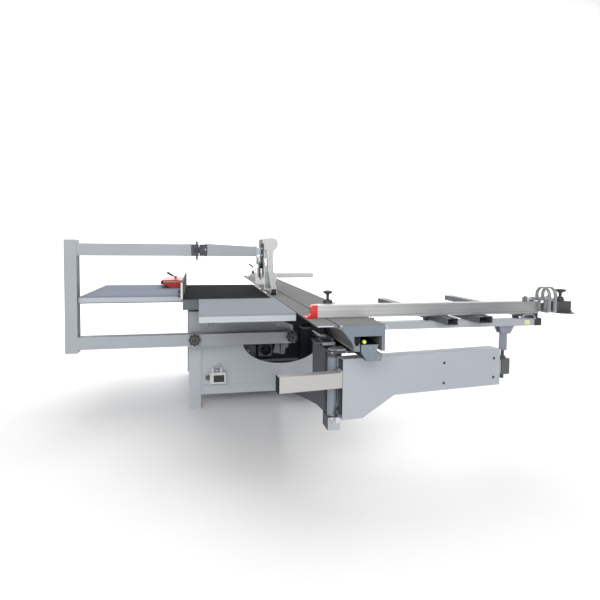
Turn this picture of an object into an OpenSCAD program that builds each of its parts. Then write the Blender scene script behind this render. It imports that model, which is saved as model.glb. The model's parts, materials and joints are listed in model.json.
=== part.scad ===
// Sliding table saw with outrigger crosscut table, swing-out overhead guard
// and rip fence.  Millimetres, +Z up.  Machine coordinates are shifted at
// the end so that the origin is the centre of the footprint at floor level.
// Near side (-Y) is the outfeed side, far side (+Y) is the operator's side.

/* [Heights] */
// Working height of all table tops above the floor
table_h = 860; // [850:5:880]
// Top of the base cabinet below the table tops
base_drop = 132; // [130:1:136]
// Top of the guard post above the tables
post_rise = 391; // [380:1:440]

/* [Sliding table] */
// Length of the sliding carriage
slide_len = 3200; // [3000:50:3400]
// Width of the sliding carriage
slide_w = 328; // [326:1:330]
// Wall of the carriage extrusion
slide_wall = 8; // [6:1:9]

/* [Tables] */
// Width of the cast-iron table
main_w = 595; // [590:1:597]
// Length of the cast-iron table
main_l = 1023; // [1010:1:1040]
// Reach of the outfeed extension table
outfeed_l = 627; // [500:1:640]
// Width of the left extension table
side_w = 698; // [600:1:698]
// Depth of the extension tables' edges
edge_d = 46; // [40:1:50]

/* [Saw unit] */
// Main blade diameter
blade_d = 350; // [300:5:350]
// Scoring blade diameter
score_d = 120; // [100:5:120]
// Height of the main blade above the table at rest
blade_up = 18; // [5:1:22]
// Outside diameter of the dust port
port_d = 94; // [80:2:94]

/* [Crosscut fence] */
// Length of the fence extrusion
fence_len = 1264; // [1240:1:1264]
// Height of the fence extrusion
fence_h = 64.5; // [60:0.5:70]

/* [Swing arm] */
// Angle of the swing arm to the X axis at rest
arm_ang = 5.5; // [4:0.5:7]
// Outside radius of the pivot pole
pole_r = 20; // [18:1:22]
// Height of the telescopic tube section
tube_h = 80; // [70:1:84]

/* [Guard frame] */
// Width of the square guard post
post_w = 80; // [74:1:80]
// Height of the guard beams
beam_h = 84; // [76:1:86]

/* [Hidden] */
$fn = 40;
ox = 588; oy = 3405;
zt = table_h;
zb = zt - base_drop;
xs0 = 527; xs1 = xs0 + slide_w;
ys0 = 3405 - slide_len/2; ys1 = 3405 + slide_len/2;
bx0 = -67; bx1 = 1074; by0 = 3140; by1 = 4040; leg = 89;
yb = 3360; xb = 512; zbl = zt + blade_up - blade_d/2;
yscore = 3640; zscore = zt + 2 - score_d/2;
ymot = 3560; zmot = zt - 450;
px = 680; py = 2045;
ztube = zt - 269;
c_body = [0.70,0.74,0.80]; c_dark = [0.13,0.14,0.15]; c_alu = [0.72,0.73,0.74];
c_iron = [0.22,0.23,0.24]; c_light = [0.80,0.83,0.86]; c_blue = [0.47,0.53,0.58];
c_white = [0.93,0.93,0.92]; c_red = [0.85,0.10,0.10]; c_steel = [0.6,0.61,0.62];

// ---- helpers ----
module F() translate([-ox,-oy,0]) children();
module bx(a,b,c,d,e,f) translate([a,c,e]) cube([b-a,d-c,f-e]);
module rx(x0,x1,y,z,r) translate([x0,y,z]) rotate([0,90,0]) cylinder(r=r,h=x1-x0);
module ry(x,y0,y1,z,r) translate([x,y0,z]) rotate([-90,0,0]) cylinder(r=r,h=y1-y0);
module rz(x,y,z0,z1,r) translate([x,y,z0]) cylinder(r=r,h=z1-z0);
// profile given in X,Z and swept along Y
module pxz(y0,y1) translate([0,y1,0]) rotate([90,0,0]) linear_extrude(y1-y0) children();
// profile given in Y,Z and swept along X
module pyz(x0,x1) translate([x0,0,0]) rotate([90,0,90]) linear_extrude(x1-x0) children();
// rectangular tube along X, Y
module tubx(x0,x1,y0,y1,z0,z1,t) difference(){ bx(x0,x1,y0,y1,z0,z1); bx(x0-1,x1+1,y0+t,y1-t,z0+t,z1-t); }
module tuby(x0,x1,y0,y1,z0,z1,t) difference(){ bx(x0,x1,y0,y1,z0,z1); bx(x0+t,x1-t,y0-1,y1+1,z0+t,z1-t); }
// ring sector about a point, angles in degrees
module sector(r0,r1,a0,a1) intersection(){
  difference(){ circle(r1); circle(r0); }
  polygon(concat([[0,0]],[for(i=[0:4]) let(a=a0+(a1-a0)*i/4) [2*r1*cos(a),2*r1*sin(a)]])); }

// ---- base ----
module opening2d() { n=72; intersection(){
    polygon([for(i=[0:n-1]) [640+305*cos(360*i/n), zt-374+172*sin(360*i/n)]]);
    union(){ translate([300,0]) square([700,zt-345]); translate([722,0]) square([300,zt]); } } }
module base_cabinet() color(c_body) F() difference(){
  union(){
    for (x=[bx0,bx1-leg]) for (y=[by0,by1-leg]) difference(){
      bx(x,x+leg,y,y+leg,0,zb); bx(x+4,x+leg-4,y+4,y+leg-4,-1,zb-4); }
    difference(){ bx(bx0+leg-1,bx1-leg+1,by0+6,by0+10,100,zb); pxz(by0,by0+20) opening2d(); }
    bx(bx0+leg-1,bx1-leg+1,by1-8,by1-4,100,zb);
    bx(bx1-10,bx1-6,by0+leg-1,by1-leg+1,100,zb);
    bx(bx0+6,bx0+10,by0+leg-1,by1-leg+1,100,265);
    bx(bx0+6,bx0+10,by0+leg-1,by1-leg+1,zb-50,zb);
    bx(bx0+7,bx1-7,by0+7,by1-5,100,104);
    difference(){ bx(bx0+leg-1,bx1-leg+1,by0+6,by0+36,zb-4,zb); bx(428,720,by0+10.1,by0+40,zb-6,zb+1); }
    bx(bx0+7,bx1-7,3800,3832,zb-40,zb);
    bx(bx0+leg-1,bx1-leg+1,by1-60,by1-4,zb-4,zb);
    bx(400,540,by1-5,by1+20,600,680);
    for (z=[330,620]) { bx(-79,-66,3952,3963,z-10,z-0.5); rz(-73.5,3957,z-10,z+44,3); }
  }
  bx(720,862,by0-1,by1+1,zb-44,zt);
  for (x=[250,620]) ry(x,by1-20,by1+1,520,10.06);
  for (x=[440,500]) ry(x,by1-9,by1+21,640,11.5);
  for (x=[120,860]) for (z=[zb-30]) ry(x,by1-20,by1+1,z,5);
}
module base_saddles() for (y=[by0+6,by1-52]) bx(722,860,y,y+48,zb-58,zt-170);
module main_table() color(c_iron) F() { x0=-100; x1=x0+main_w; y0=2827; y1=y0+main_l; difference(){
  union(){
    bx(x0,x1,y0,y1,zt-25,zt);
    difference(){ bx(x0,x1,y0,y1,zt-72,zt-20); bx(x0+20,x1-20,y0+20,y1-20,zt-80,zt-10); }
    for (y=[3060,3830]) bx(x0+5,x1-5,y-6,y+6,zt-66,zt-20);
    for (x=[80]) bx(x-6,x+6,y0+5,y1-5,zt-60,zt-20);
    for (x=[20,400]) for (y=[3176,3966-150]) if (y<y1-20) bx(x-25,x+25,y-25,y+25,zb,zt-20);
    bx(x1-1,x1+8,y0,y1,zt-20,zt-4.1);
  }
  bx(x1-60,x1+20,3150,3720,zt-80,zt-22);
  bx(x1-3,x1+20,3150,3720,zt-30,zt+1);
} }
module table_insert() color(c_light) F() difference(){
  bx(495.5,524,2827,2827+main_l,zt-4,zt);
  bx(507,520,3160,3540,zt-6,zt+1);
  bx(508,520,3606,3674,zt-6,zt+1);
}
module outfeed_table() color(c_light) F() { y1=2827; y0=y1-outfeed_l; difference(){
  union(){
    bx(4,522,y0+14,y1,zt-6,zt);
    pyz(4,522) difference(){ union(){ translate([y0,zt-edge_d]) square([20,edge_d-14]); translate([y0+14,zt-14]) circle(14); translate([y0+14,zt-14]) square([6,14]);}
       translate([y0+6,zt-edge_d-1]) square([20,edge_d-5]); }
    for (x=[4,519]) bx(x,x+3,y0+8,y1,zt-edge_d+4,zt-2);
    bx(4,522,y1-4,y1,zt-edge_d,zt-2);
    for (x=[60,460]) { bx(x,x+30,2400,by0+6,zt-112,zt-76); bx(x,x+30,2400,2440,zt-112,zt-4); bx(x-6,x+36,by0+0,by0+6,zb-60,zt-76);}
  } } }
module side_table() color(c_light) F() { x1=-100.5; x0=x1-side_w; union(){
    bx(x0,x1,3025,3905,zt-5,zt);
    difference(){ bx(x0,x1,3025,3905,zt-edge_d,zt-1); bx(x0+4,x1-4,3029,3901,zt-edge_d-1,zt-4); }
    for (y=[3300,3600]) bx(x0+2,x1-2,y,y+4,zt-34,zt-3);
  } }
module rip_rail() color(c_steel) F() { union(){
    rx(-815,500,3965,zt-48,25);
    for (x=[-700,-380]) bx(x,x+40,3880,3960,zt-75,zt-edge_d);
    for (x=[0,430]) bx(x,x+40,2827+main_l,3960,zt-75,zt-52);
  } }
module beam2d() polygon([[738,zt-92],[826,zt-92],[816,zt-127],[844,zt-138],[840,zt-170],[766,zt-170],[738,zt-129]]);
module slide_beam() color(c_blue) F() union(){ difference(){
    pxz(ys0+10,ys1-10) beam2d();
    bx(748,806,ys0+9,ys1-9,zt-122,zt-100);
    bx(776,830,ys0+9,ys1-9,zt-163,zt-140);
  }
  for (y=[ys0+6,ys1-10]) pxz(y,y+4) beam2d();
}
module pivot_bracket() color(c_body) F() difference(){ union(){
    pyz(650,656) polygon([[by0+6,100],[by0+6,200],[2700,330],[2317,440],[2317,zt-181],[2091,zt-181],[2091,300],
       [2100,352],[2233,336],[2405,298],[2605,248],[2816,192],[3000,142]]);
    bx(610,696,by0,by0+6,100,200);
    bx(650,702,2091,2097,348,zt-180);
    bx(648,840,2005,2320,zt-182,zt-170);
    bx(648,712,2009,2097,283,350);
    rz(px,py,zt-205,zt-181,24.5);
  }
  rz(px,py,300,zt-178,pole_r+0.02);
}
module pivot_pole() color(c_light) F() rz(px,py,300,zt-182.5,pole_r);

// ---- guard frame ----
module guard_post() color(c_body) F() difference(){ bx(-880,-880+post_w,3000,3000+post_w,479,zt+post_rise);
   bx(-875,-885+post_w,3005,2995+post_w,478,zt+post_rise-5); }
module guard_upper_beam() color(c_body) F() tubx(-880+post_w,-46,3000,3068,zt+282,zt+282+beam_h,5);
module guard_lower_beam() color(c_body) F() difference(){ union(){
    tubx(-880+post_w,705,3000,3068,zt-357,zt-357+beam_h,5);
    bx(-50,0,3067,by0,zt-345,zt-285);
    bx(655,705,3067,by0+6,zt-345,zt-285); }
  ry(-24,2999,3040,zt-309,8.05);
  ry(680,2999,3040,zt-309,8.05);
}
module clamp_knob(x) F() translate([x,0,zt-309]) rotate([90,0,0]) union(){
    translate([0,0,-2999.4]) cylinder(r=12,h=10);
    translate([0,0,-2992]) { cylinder(r=35,h=30); for (a=[0:45:315]) rotate([0,0,a]) translate([33,0,0]) cylinder(r=9,h=26);
      cylinder(r=15,h=35); }
    translate([0,0,-3036]) cylinder(r=8,h=46); }
module frame_knob_left() color(c_dark) clamp_knob(-24);
module frame_knob_right() color(c_dark) clamp_knob(680);
module hinge_yoke() color(c_dark) F() { union(){
    bx(-46,-22,3006,3066,zt+282,zt+365);
    for (z=[[zt+282,zt+299],[zt+348,zt+365]]) { bx(-24,-8,3006,3022,z[0],z[1]); rz(-8,3014,z[0],z[1],14); }
    rz(-8,3014,zt+268,zt+378,7);
  } }
module guard_arm() color(c_body) F() difference(){ union(){
    bx(8,70,3006,3066,zt+282,zt+365);
    rz(-8,3014,zt+300,zt+347,14);
    bx(-8,10,3008,3027,zt+300,zt+347);
    difference(){
      pxz(3006,3064) polygon([[60,zt+282],[444,zt+282],[444,zt+351],[68,zt+370],[60,zt+370]]);
      pxz(3011,3059) polygon([[66,zt+287],[438,zt+287],[438,zt+346],[68,zt+364]]); }
    bx(443,466,3010,3060,zt+230,zt+375);
  }
  rz(-8,3014,zt+260,zt+380,7.05);
}
module guard_hood() color(c_white) F() difference(){ union(){
    difference(){
      pxz(2988,3260) polygon([[468,zt+330],[468,zt+408],[476,zt+413],[515,zt+416],[542,zt+414],[558,zt+406],[568,zt+390],[570,zt+370],[564,zt+346],[548,zt+330]]);
      pxz(2994,3254) polygon([[473,zt+325],[473,zt+404],[515,zt+411],[540,zt+409],[554,zt+402],[563,zt+388],[565,zt+370],[559,zt+348],[543,zt+325]]); }
    pxz(2986,3020) polygon([[481,zt+335],[542,zt+335],[534,zt+250],[531,zt+190],[534,zt+150],[562,zt+50],[560,zt+44],[522,zt+44],[502,zt+150],[497,zt+190],[494,zt+250]]);
    for (x=[519.5,558.5]) pyz(x,x+4) { translate([3004,zt+22]) circle(12); translate([2992,zt+22]) square([24,28]); }
    bx(519.5,562.5,2990,3016,zt+43,zt+60);
    bx(505,519,3018,3250,zt+275,zt+335);
    bx(468,477,3015,3055,zt+300,zt+350);
  } rx(515,566,3004,zt+22,6); }
module guard_shield() color([0.75,0.78,0.80,0.5]) F() union(){
    for (x=[478,542]) pyz(x,x+4) polygon([[3040,zt+40],[3040,zt+215],[3085,zt+270],[3480,zt+270],[3560,zt+200],[3560,zt+60],[3530,zt+32],[3060,zt+32]]);
    bx(478,546,3085,3480,zt+266,zt+275);
    bx(478,546,3040,3044,zt+60,zt+215);
  }
module guard_roller() color(c_dark) F() union(){ rx(524.5,557.5,3004,zt+22,20.5); rx(516,566,3004,zt+22,5.95); }
module guard_lever() color(c_dark) F() union(){
    rx(464,477.5,3125,zt+214,25);
    rx(452,466,3125,zt+214,14);
    translate([458,3125,zt+214]) rotate([100,0,0]) rotate([90,0,0]) cylinder(r=5,h=92);
  }

// ---- readout ----
module readout_box() color(c_white) F() difference(){ union(){
    bx(87,207,3112,by0+6,186,271);
    rx(66,88,3129,230,15.5);
    for (x=[108,140,172]) rz(x,3130,270,291,11);
    for (x=[108,140,172]) rz(x,3130,289,310,8);
  } bx(113,194,3108,3116,198,252); }

// ---- saw unit ----
module trunnion_guides() color(c_iron) F() for (y=[3183,3778]) union(){
    translate([0,y,0]) pxz(0,15) translate([xb,zt]) sector(262.5,292,198,255);
    bx(222,252,y,y+15,zt-120,zt-25);
    bx(222,262,y-12,y+30,zt-33,zt-25);
  }
module tilt_frame() color(c_steel) F() difference(){ union(){
    for (y=[3200,3763]) { translate([0,y,0]) pxz(0,12) translate([xb,zt]) sector(222,261.5,200,244);
      bx(336,432,y,y+12,zt-300,zt-190); }
    for (y=[3183,3774]) translate([0,y,0]) pxz(0,18) translate([xb,zt]) sector(240,261.5,202,244);
    tuby(336,376,3201,3775,zt-274,zt-230,6);
    for (y=[3232,3712]) { rz(408,y+10,zt-300,zt-78,15); bx(370,433,y-12,y+32,zt-304,zt-288); bx(360,433,y-12,y+32,zt-90,zt-76); bx(360,378,y-12,y+32,zt-290,zt-80);}
  } }
module lift_carrier() color([0.33,0.35,0.37]) F() difference(){ union(){
    bx(436,450,3226,3736,zt-230,zt-190);
    for (y=[3242,3722]) rz(408,y,zt-225,zt-165,27);
    for (y=[3242,3722]) bx(408,450,y-20,y+20,zt-225,zt-165);
    rx(262,480,yb,zbl,36);
    pyz(436,450) polygon([[3300,zt-140],[3420,zt-140],[3470,zt-230],[3650,zt-380],[3650,zt-540],[3470,zt-540],[3470,zt-400],[3300,zt-230]]);
    bx(436,450,3300,3420,zt-230,zt-120);
    bx(480,508,3156,3200,zt-176,zt-140);
    bx(440,482,3160,3198,zt-176,zt-140);
    bx(436,450,3160,3250,zt-196,zt-140);
  }
  for (y=[3242,3722]) rz(408,y,zt-240,zt-150,15.06);
  rx(260,490,yb,zbl,17.06);
  rx(430,460,ymot,zmot,60);
}
module motor() color([0.25,0.32,0.38]) F() difference(){ union(){
    rx(300,435.7,ymot,zmot,92);
    rx(286,302,ymot,zmot,80);
    rx(434,500,ymot,zmot,59);
    bx(320,400,ymot+80,ymot+126,zmot-50,zmot+50);
  } rx(280,510,ymot,zmot,15.06);
    for (a=[0:15:345]) translate([0,ymot,zmot]) rotate([a,0,0]) bx(304,430,-2,2,86,95);
  }
module dust_hood() color([0.30,0.31,0.33]) F() difference(){ union(){
    intersection(){ rx(486,540,yb,zbl,192); bx(480,546,3165,3560,400,zbl-22); }
    bx(450,487,3304,3326,zt-229,zt-205);
    bx(486,540,3198,3330,zt-470,zbl-100);
    bx(462,566,3196,3300,zt-500,zt-380);
    ry(514,3158,3200,zt-440,port_d/2);
  }
  intersection(){ rx(489,537,yb,zbl,188); bx(480,546,3100,3600,300,zbl+50); }
  bx(489,537,3201,3326,zt-466,zbl-60);
  bx(466,562,3200,3296,zt-496,zt-384);
  ry(514,3150,3204,zt-440,port_d/2-4);
  rx(480,492,yb,zbl,60);
}
module drive_belt() color(c_dark) F() pyz(228,248) difference(){
    hull(){ translate([yb,zbl]) circle(47); translate([ymot,zmot]) circle(62); }
    hull(){ translate([yb,zbl]) circle(40.5); translate([ymot,zmot]) circle(55.5); } }
module riving_knife() color(c_steel) F() union(){ pyz(510.6,513.4) translate([yb,zbl]) sector(179,204,127,184);
    bx(508.2,513.4,3157,3180,zt-176,zt-140); }
module scoring_unit() color([0.33,0.35,0.37]) F() difference(){ union(){
    rx(420,498,yscore,zscore,22);
    bx(420,433,3600,3680,zt-150,zscore+10);
    bx(376,433,3600,3680,zt-150,zt-138);
    bx(376,386,3600,3680,zt-250,zt-138);
    rx(382.3,420,3640,zscore-60,30);
  } rx(416,500,yscore,zscore,10.06); }
module arbor_shaft() color(c_steel) F() union(){ rx(222,537,yb,zbl,17); rx(226,250,yb,zbl,40); rx(497,510.4,yb,zbl,44); rx(513.6,522,yb,zbl,38); rx(522,534,yb,zbl,20); }
module main_blade() color([0.78,0.79,0.8]) F() difference(){ union(){
    rx(510.6,513.4,yb,zbl,blade_d/2-5);
    for (i=[0:59]) translate([510.4,yb,zbl]) rotate([i*6,0,0]) pyz(0,3.2) polygon([[-4,blade_d/2-8],[5,blade_d/2-8],[3,blade_d/2],[0,blade_d/2]]);
  } rx(500,520,yb,zbl,17.02); }
module motor_pulley() color(c_steel) F() union(){ rx(226,250,ymot,zmot,55); rx(222,490,ymot,zmot,15); }
module scoring_blade() color([0.78,0.79,0.8]) F() union(){ rx(402,516,yscore,zscore,10); rx(500,510.4,yscore,zscore,22); rx(510.4,513.6,yscore,zscore,score_d/2-3);
    for (i=[0:23]) translate([510.2,yscore,zscore]) rotate([i*15,0,0]) pyz(0,3.6) polygon([[-4,score_d/2-6],[4,score_d/2-6],[3,score_d/2],[0,score_d/2]]); }
module handwheel(x) F() translate([x,0,520]) rotate([-90,0,0]) union(){
    translate([0,0,by1-120]) cylinder(r=10,h=150);
    translate([0,0,by1+2]) cylinder(r=22,h=34);
    translate([0,0,by1+26]) rotate_extrude() translate([92,0]) circle(10);
    for (a=[0,120,240]) rotate([0,0,a]) translate([15,-7,by1+20]) cube([70,14,10]);
    translate([0,84,by1+26]) cylinder(r=6,h=20);
    translate([0,84,by1+44]) cylinder(r=11,h=56);
  }
module height_handwheel() color(c_dark) handwheel(250);
module tilt_handwheel() color(c_dark) handwheel(620);
module start_button() color([0.1,0.6,0.2]) F() ry(440,by1+3,by1+28,640,11);
module stop_button() color(c_red) F() union(){ ry(500,by1+3,by1+26,640,11); ry(500,by1+25.9,by1+34,640,18); }
module side_door() color(c_body) F() difference(){ union(){
    bx(-79,-68.2,3232,3948,255,zb-2);
    for (z=[330,620]) { rz(-73.5,3957,z,z+40,5.2); bx(-76,-71,3946,3957,z,z+40); }
  } bx(-77,-60,3234,3946,257,zb-4);
    for (z=[330,620]) rz(-73.5,3957,z-1,z+41,3.06);
  }

// ---- sliding carriage and outrigger ----
module carriage2d() polygon([[xs0,zt],[xs1,zt],[xs1,zt-124],[838,zt-124],[838,zt-54],[733,zt-54],[733,zt-124],[704,zt-124],[703,zt-114],
   [697,zt-90],[686,zt-73],[672,zt-57],[658,zt-38],[643,zt-23],[622,zt-12],[595,zt-6],[xs0,zt-6]]);
module carriage_profile() color(c_alu) F() difference(){
  pxz(ys0+4,ys1-4) carriage2d();
  bx(664,744,ys0,ys1,zt-45,zt-slide_wall);
  bx(752,xs1-8,ys0,ys1,zt-45,zt-slide_wall);
  bx(710,727,ys0,ys1,zt-118,zt-62);
  bx(843,xs1-4,ys0,ys1,zt-119,zt-60);
  bx(624,632,ys0,ys1,zt-6,zt+1); bx(620.5,635.5,ys0,ys1,zt-10,zt-5);
  rz(668,2105,zt-12,zt+1,8.05);
}
module carriage_end_caps() color(c_blue) F() for (y=[ys0,ys1-4]) pxz(y,y+4)
   polygon([[647,zt-2],[xs1-1,zt-2],[xs1-1,zt-122],[838,zt-122],[838,zt-53],[703,zt-53],[703,zt-86],[697,zt-86],[672,zt-53],[647,zt-22]]);
module outrigger_rails() color(c_body) F() union(){
   for (y=[2045,2575]) { tubx(xs1+5,1895,y,y+50,zt-76,zt-36,3); bx(xs1,xs1+6,y-14,y+64,zt-104,zt-24);
     for (yy=[y-12,y+56]) pxz(yy,yy+6) polygon([[xs1,zt-100],[xs1+60,zt-76],[xs1+60,zt-40],[xs1,zt-26]]); }
}
module bar(x0,x1,y0,y1) difference(){ bx(x0,x1,y0,y1,zt-36,zt); bx(x0+3,x1-3,y0-1,y1+1,zt-33,zt-3);
   bx((x0+x1)/2-5,(x0+x1)/2+5,y0-1,y1+1,zt-4,zt+1); }
module outrigger_bars() color(c_blue) F() { bar(1240,1300,1915,2750); bar(1440,1520,1945,2330); bar(1825,1885,2047,2866); }
module roller_cage() color(c_steel) F() union(){
   bx(768,796,2605,4205,zt-77,zt-69);
   for (i=[0:9]) { y=2685+i*160; rx(744,820,y,zt-73,5); rx(744,760,y,zt-73,18.3); rx(804,820,y,zt-73,18.3); } }

// ---- crosscut fence ----
fz = zt+0.5; ft = fz+fence_h; fx0 = 585; fx1 = fx0+fence_len;
module fence_profile() color(c_alu) F() difference(){
  pyz(fx0,fx1) polygon([[2010,ft],[2055,ft],[2055,fz],[2003,fz],[2003,fz+8],[2010,fz+12]]);
  bx(fx0-1,fx1+1,2017,2049,fz+6,ft-10);
  bx(fx0-1,fx1+1,2029,2037,ft-11,ft+1);
  bx(fx0-1,fx1+1,2009,2011.5,fz+28,fz+32);
  bx(fx0-1,fx1+1,2009,2011.5,ft-14,ft-11);
}
module fence_foot() color(c_steel) F() union(){
  bx(640,812,2055,2150,fz,fz+7);
  bx(646,806,2055,2061,fz,fz+40);
  rz(668,2105,fz+6,fz+34,22);
  rz(668,2105,zt-9,fz+2,8);
}
module fence_end_stop() color(c_red) F() union(){
  pxz(2002,2044) difference(){ union(){ translate([551,zt+1]) square([34,50]); translate([567,zt+50]) circle(16); translate([567,zt+46]) square([18,20]); } translate([585,zt-1]) square([40,90]); }
  bx(524,556,1998,2044,zt+1,zt+8);
  pxz(2002,2040) polygon([[528,zt+1],[556,zt+1],[556,zt+26]]);
}
module knob(x,y,z0,zst,r) union(){ rz(x,y,z0,zst,8); rz(x,y,zst-4,zst+4,14);
   translate([x,y,zst+2]) rotate_extrude($fn=40) polygon([[0,0],[r*0.75,0],[r,5],[r,8],[r*0.8,12],[r*0.4,14.5],[0,15]]); }
module fence_knob() color(c_dark) F() knob(668,2105,fz+34.5,fz+112,23);
module stop_rod() color(c_alu) F() { z=ft+14.5; union(){
  bx(1795,1984,2034,2054,ft+1,ft+8);
  for (x=[1782,1932]) bx(x,x+11,2010,2054,ft+1,ft+24);
  bx(1782,1806,2034,2054,ft+1,ft+24);
  rx(1782,1943,2018,z,6.5);
  } }
module flip2d() difference(){ union(){
    translate([1925,886]) square([74,63]); translate([1938,873]) square([61,20]); translate([1938,886]) circle(13);
    translate([1925,940]) square([8,27]); translate([2009,940]) square([8,27]);
    intersection(){ translate([1971,966]) circle(46); translate([1900,966]) square([140,60]); } }
  translate([1932.5,888]) square([59,54]); translate([1941,880.5]) square([50.5,12]); translate([1941,889]) circle(8.5);
  intersection(){ translate([1971,966]) circle(38); translate([1900,965]) square([140,60]); } }
module flip_stop(xh,wh,x0) { z=ft+14.5; difference(){ union(){
   pyz(x0,x0+16) flip2d();
   rx(xh+1,xh+wh-1,2018,z,11);
   }
   rx(xh-2,xh+wh+2,2018,z,6.56);
 } }
module flip_stop_left() color(c_alu) F() flip_stop(1808,54,1835);
module flip_stop_right() color(c_alu) F() flip_stop(1865,56,1872);
module fence_extension() color(c_iron) F() difference(){ union(){
   tubx(1100,1950,2019.5,2046.5,fz+8.5,ft-12.5,4);
   pyz(1936,2056) polygon([[2002,ft-1],[2052,ft-1],[2052,fz+1],[1996,fz+1],[1996,fz+10],[2002,fz+14]]);
   translate([0,0,fz+1]) linear_extrude(4) polygon([[1940,2000],[2056,2000],[2050,1972],[2006,1938],[1960,1966]]);
   } bx(1960,2057,2008,2046,fz+8,ft-8); }
module extension_knob() color(c_dark) F() union(){ rz(2004,2025,ft-0.4,ft+22,17); knob(2004,2025,ft+20,ft+50,27); }
module cross_bar() color(c_light) F() union(){
   tubx(632,1291,4620,4656,zt+1,zt+53,3);
   bx(540,634,4612,4668,zt+1,zt+30); bx(570,634,4616,4664,zt+28,zt+48);
   rz(628,4640,zt-9.6,zt+4,3.7); rz(628,4640,zt-9.6,zt-5.6,7.2);
}
module shoe_lever() color(c_dark) F() union(){
   rz(602,4640,zt+48.5,zt+60,16); rz(602,4640,zt+58,zt+130,6); translate([602,4640,zt+70]) sphere(14);
   translate([606,4640,zt+122]) rotate([0,-60,0]) cylinder(r=9,h=56);
}

// ---- swing arm ----
module A() F() translate([px,py,0]) rotate([0,0,arm_ang]) children();
module arm2d() polygon([[20,352],[131,352],[310,455],[974,455],[974,zt-210],[962,zt-200],[20,zt-200]]);
module arm_in() polygon([[10,356],[129,356],[308,459],[1000,459],[1000,zt-204],[10,zt-204]]);
module swing_arm() color(c_light) A() difference(){ union(){
   pxz(-86.6,-22) arm2d();
   bx(27,46,-26,12,354,zt-208);
   for (z=[[356,420],[zt-258,zt-207]]) { rz(0,0,z[0],z[1],24.5); bx(0,35,-17,17,z[0]+2,z[1]-2); }
  }
  pxz(-82.6,-26) arm_in();
  bx(10,60,-31,-25.9,ztube-tube_h-2,ztube+2);
  for (z=[[350,424],[zt-262,zt-200]]) rz(0,0,z[0],z[1],pole_r+0.06);
}
module inner_tube() color([0.80,0.78,0.74]) A() difference(){ union(){
   tubx(-313,995,-80,-30,ztube-tube_h,ztube,3.5);
   bx(990,1047,-82,-28,ztube-tube_h-3,ztube+5);
  } rz(1020,-55,ztube-tube_h-10,ztube+10,7.56); }
sx = px+1020*cos(arm_ang)+55*sin(arm_ang); sy = py+1020*sin(arm_ang)-55*cos(arm_ang);
module support_post() color(c_body) F() translate([sx,sy,0]) union(){
   rz(0,0,zt-361,zt-206,7.5); rz(0,0,zt-263.5,zt-252,14); rz(0,0,zt-380,zt-352.5,9);
   rotate([0,0,45]) bx(-20,9,-20,9,zt-216,zt-210);
   rotate([0,0,45]) { bx(-20,-14,-20,18,zt-214,zt-78); bx(-20,18,-20,-14,zt-214,zt-78); }
   pxz(-26,-21) polygon([[-26,zt-122],[26,zt-122],[47,zt-80],[-47,zt-80]]);
   pxz(14,19) polygon([[-26,zt-122],[26,zt-122],[47,zt-80],[-47,zt-80]]);
   bx(-47,47,-30,30,zt-83,zt-76.6);
}

// ---- rip fence ----
module rip_carrier() color(c_red) F() difference(){ union(){
   pxz(3560,3930) polygon([[-226,zt+2],[-150,zt+2],[-150,zt+58],[-168,zt+72],[-286,zt+68],[-300,zt+58],[-300,zt+34],[-262,zt+30],[-240,zt+14]]);
   pxz(3925,3998) polygon([[-286,zt-44],[-150,zt-44],[-150,zt+66],[-286,zt+66]]);
   bx(-152,-119.5,3568,3900,zt+2,zt+64);
   for (y=[3683,3713]) bx(-199,-181,y,y+4,zt+60,zt+93);
  }
  ry(-190,3675,3725,zt+84,4.06);
  pxz(3568,3900) polygon([[-222,zt+8],[-156,zt+8],[-156,zt+54],[-172,zt+64],[-280,zt+61],[-292,zt+54],[-292,zt+40],[-258,zt+36],[-236,zt+20]]);
  rx(-310,-140,3965,zt-48,25.5);
  bx(-310,-140,3925,3936,zt-50,zt-2);
  bx(-310,-140,3880,3932,zt-60,zt+1.9);
}
module rip_plate() color(c_alu) F() difference(){ union(){
   bx(-113,-100,2830,3847,zt+1,zt+110);
   bx(-118.8,-112,2830,3847,zt+14,zt+34); }
   bx(-110,-103,2829,3848,zt+40,zt+104); bx(-110,-103,2829,3848,zt+6,zt+32); }
module rip_lever() color(c_dark) F() translate([-190,3700,zt+84]) union(){
   ry(0,-12,12,0,9); ry(0,-17,17,0,4); rotate([0,-60,0]) cylinder(r=5,h=62); translate([-24,0,12]) rotate([0,-60,0]) cylinder(r=9.5,h=56); }

union(){ base_cabinet(); color(c_body) F() base_saddles(); }
main_table();
table_insert();
outfeed_table();
side_table();
rip_rail();
slide_beam();
pivot_bracket();
pivot_pole();
guard_post();
guard_upper_beam();
guard_lower_beam();
hinge_yoke();
readout_box();
trunnion_guides();
side_door();
frame_knob_left();
frame_knob_right();
tilt_frame();
lift_carrier();
motor();
dust_hood();
drive_belt();
riving_knife();
scoring_unit();
arbor_shaft();
main_blade();
motor_pulley();
scoring_blade();
height_handwheel();
tilt_handwheel();
start_button();
stop_button();
carriage_profile();
carriage_end_caps();
outrigger_rails();
outrigger_bars();
roller_cage();
fence_profile();
fence_foot();
fence_end_stop();
fence_knob();
stop_rod();
flip_stop_left();
flip_stop_right();
fence_extension();
extension_knob();
cross_bar();
shoe_lever();
swing_arm();
inner_tube();
support_post();
guard_arm();
guard_hood();
guard_shield();
guard_roller();
guard_lever();
rip_carrier();
rip_plate();
rip_lever();
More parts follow.
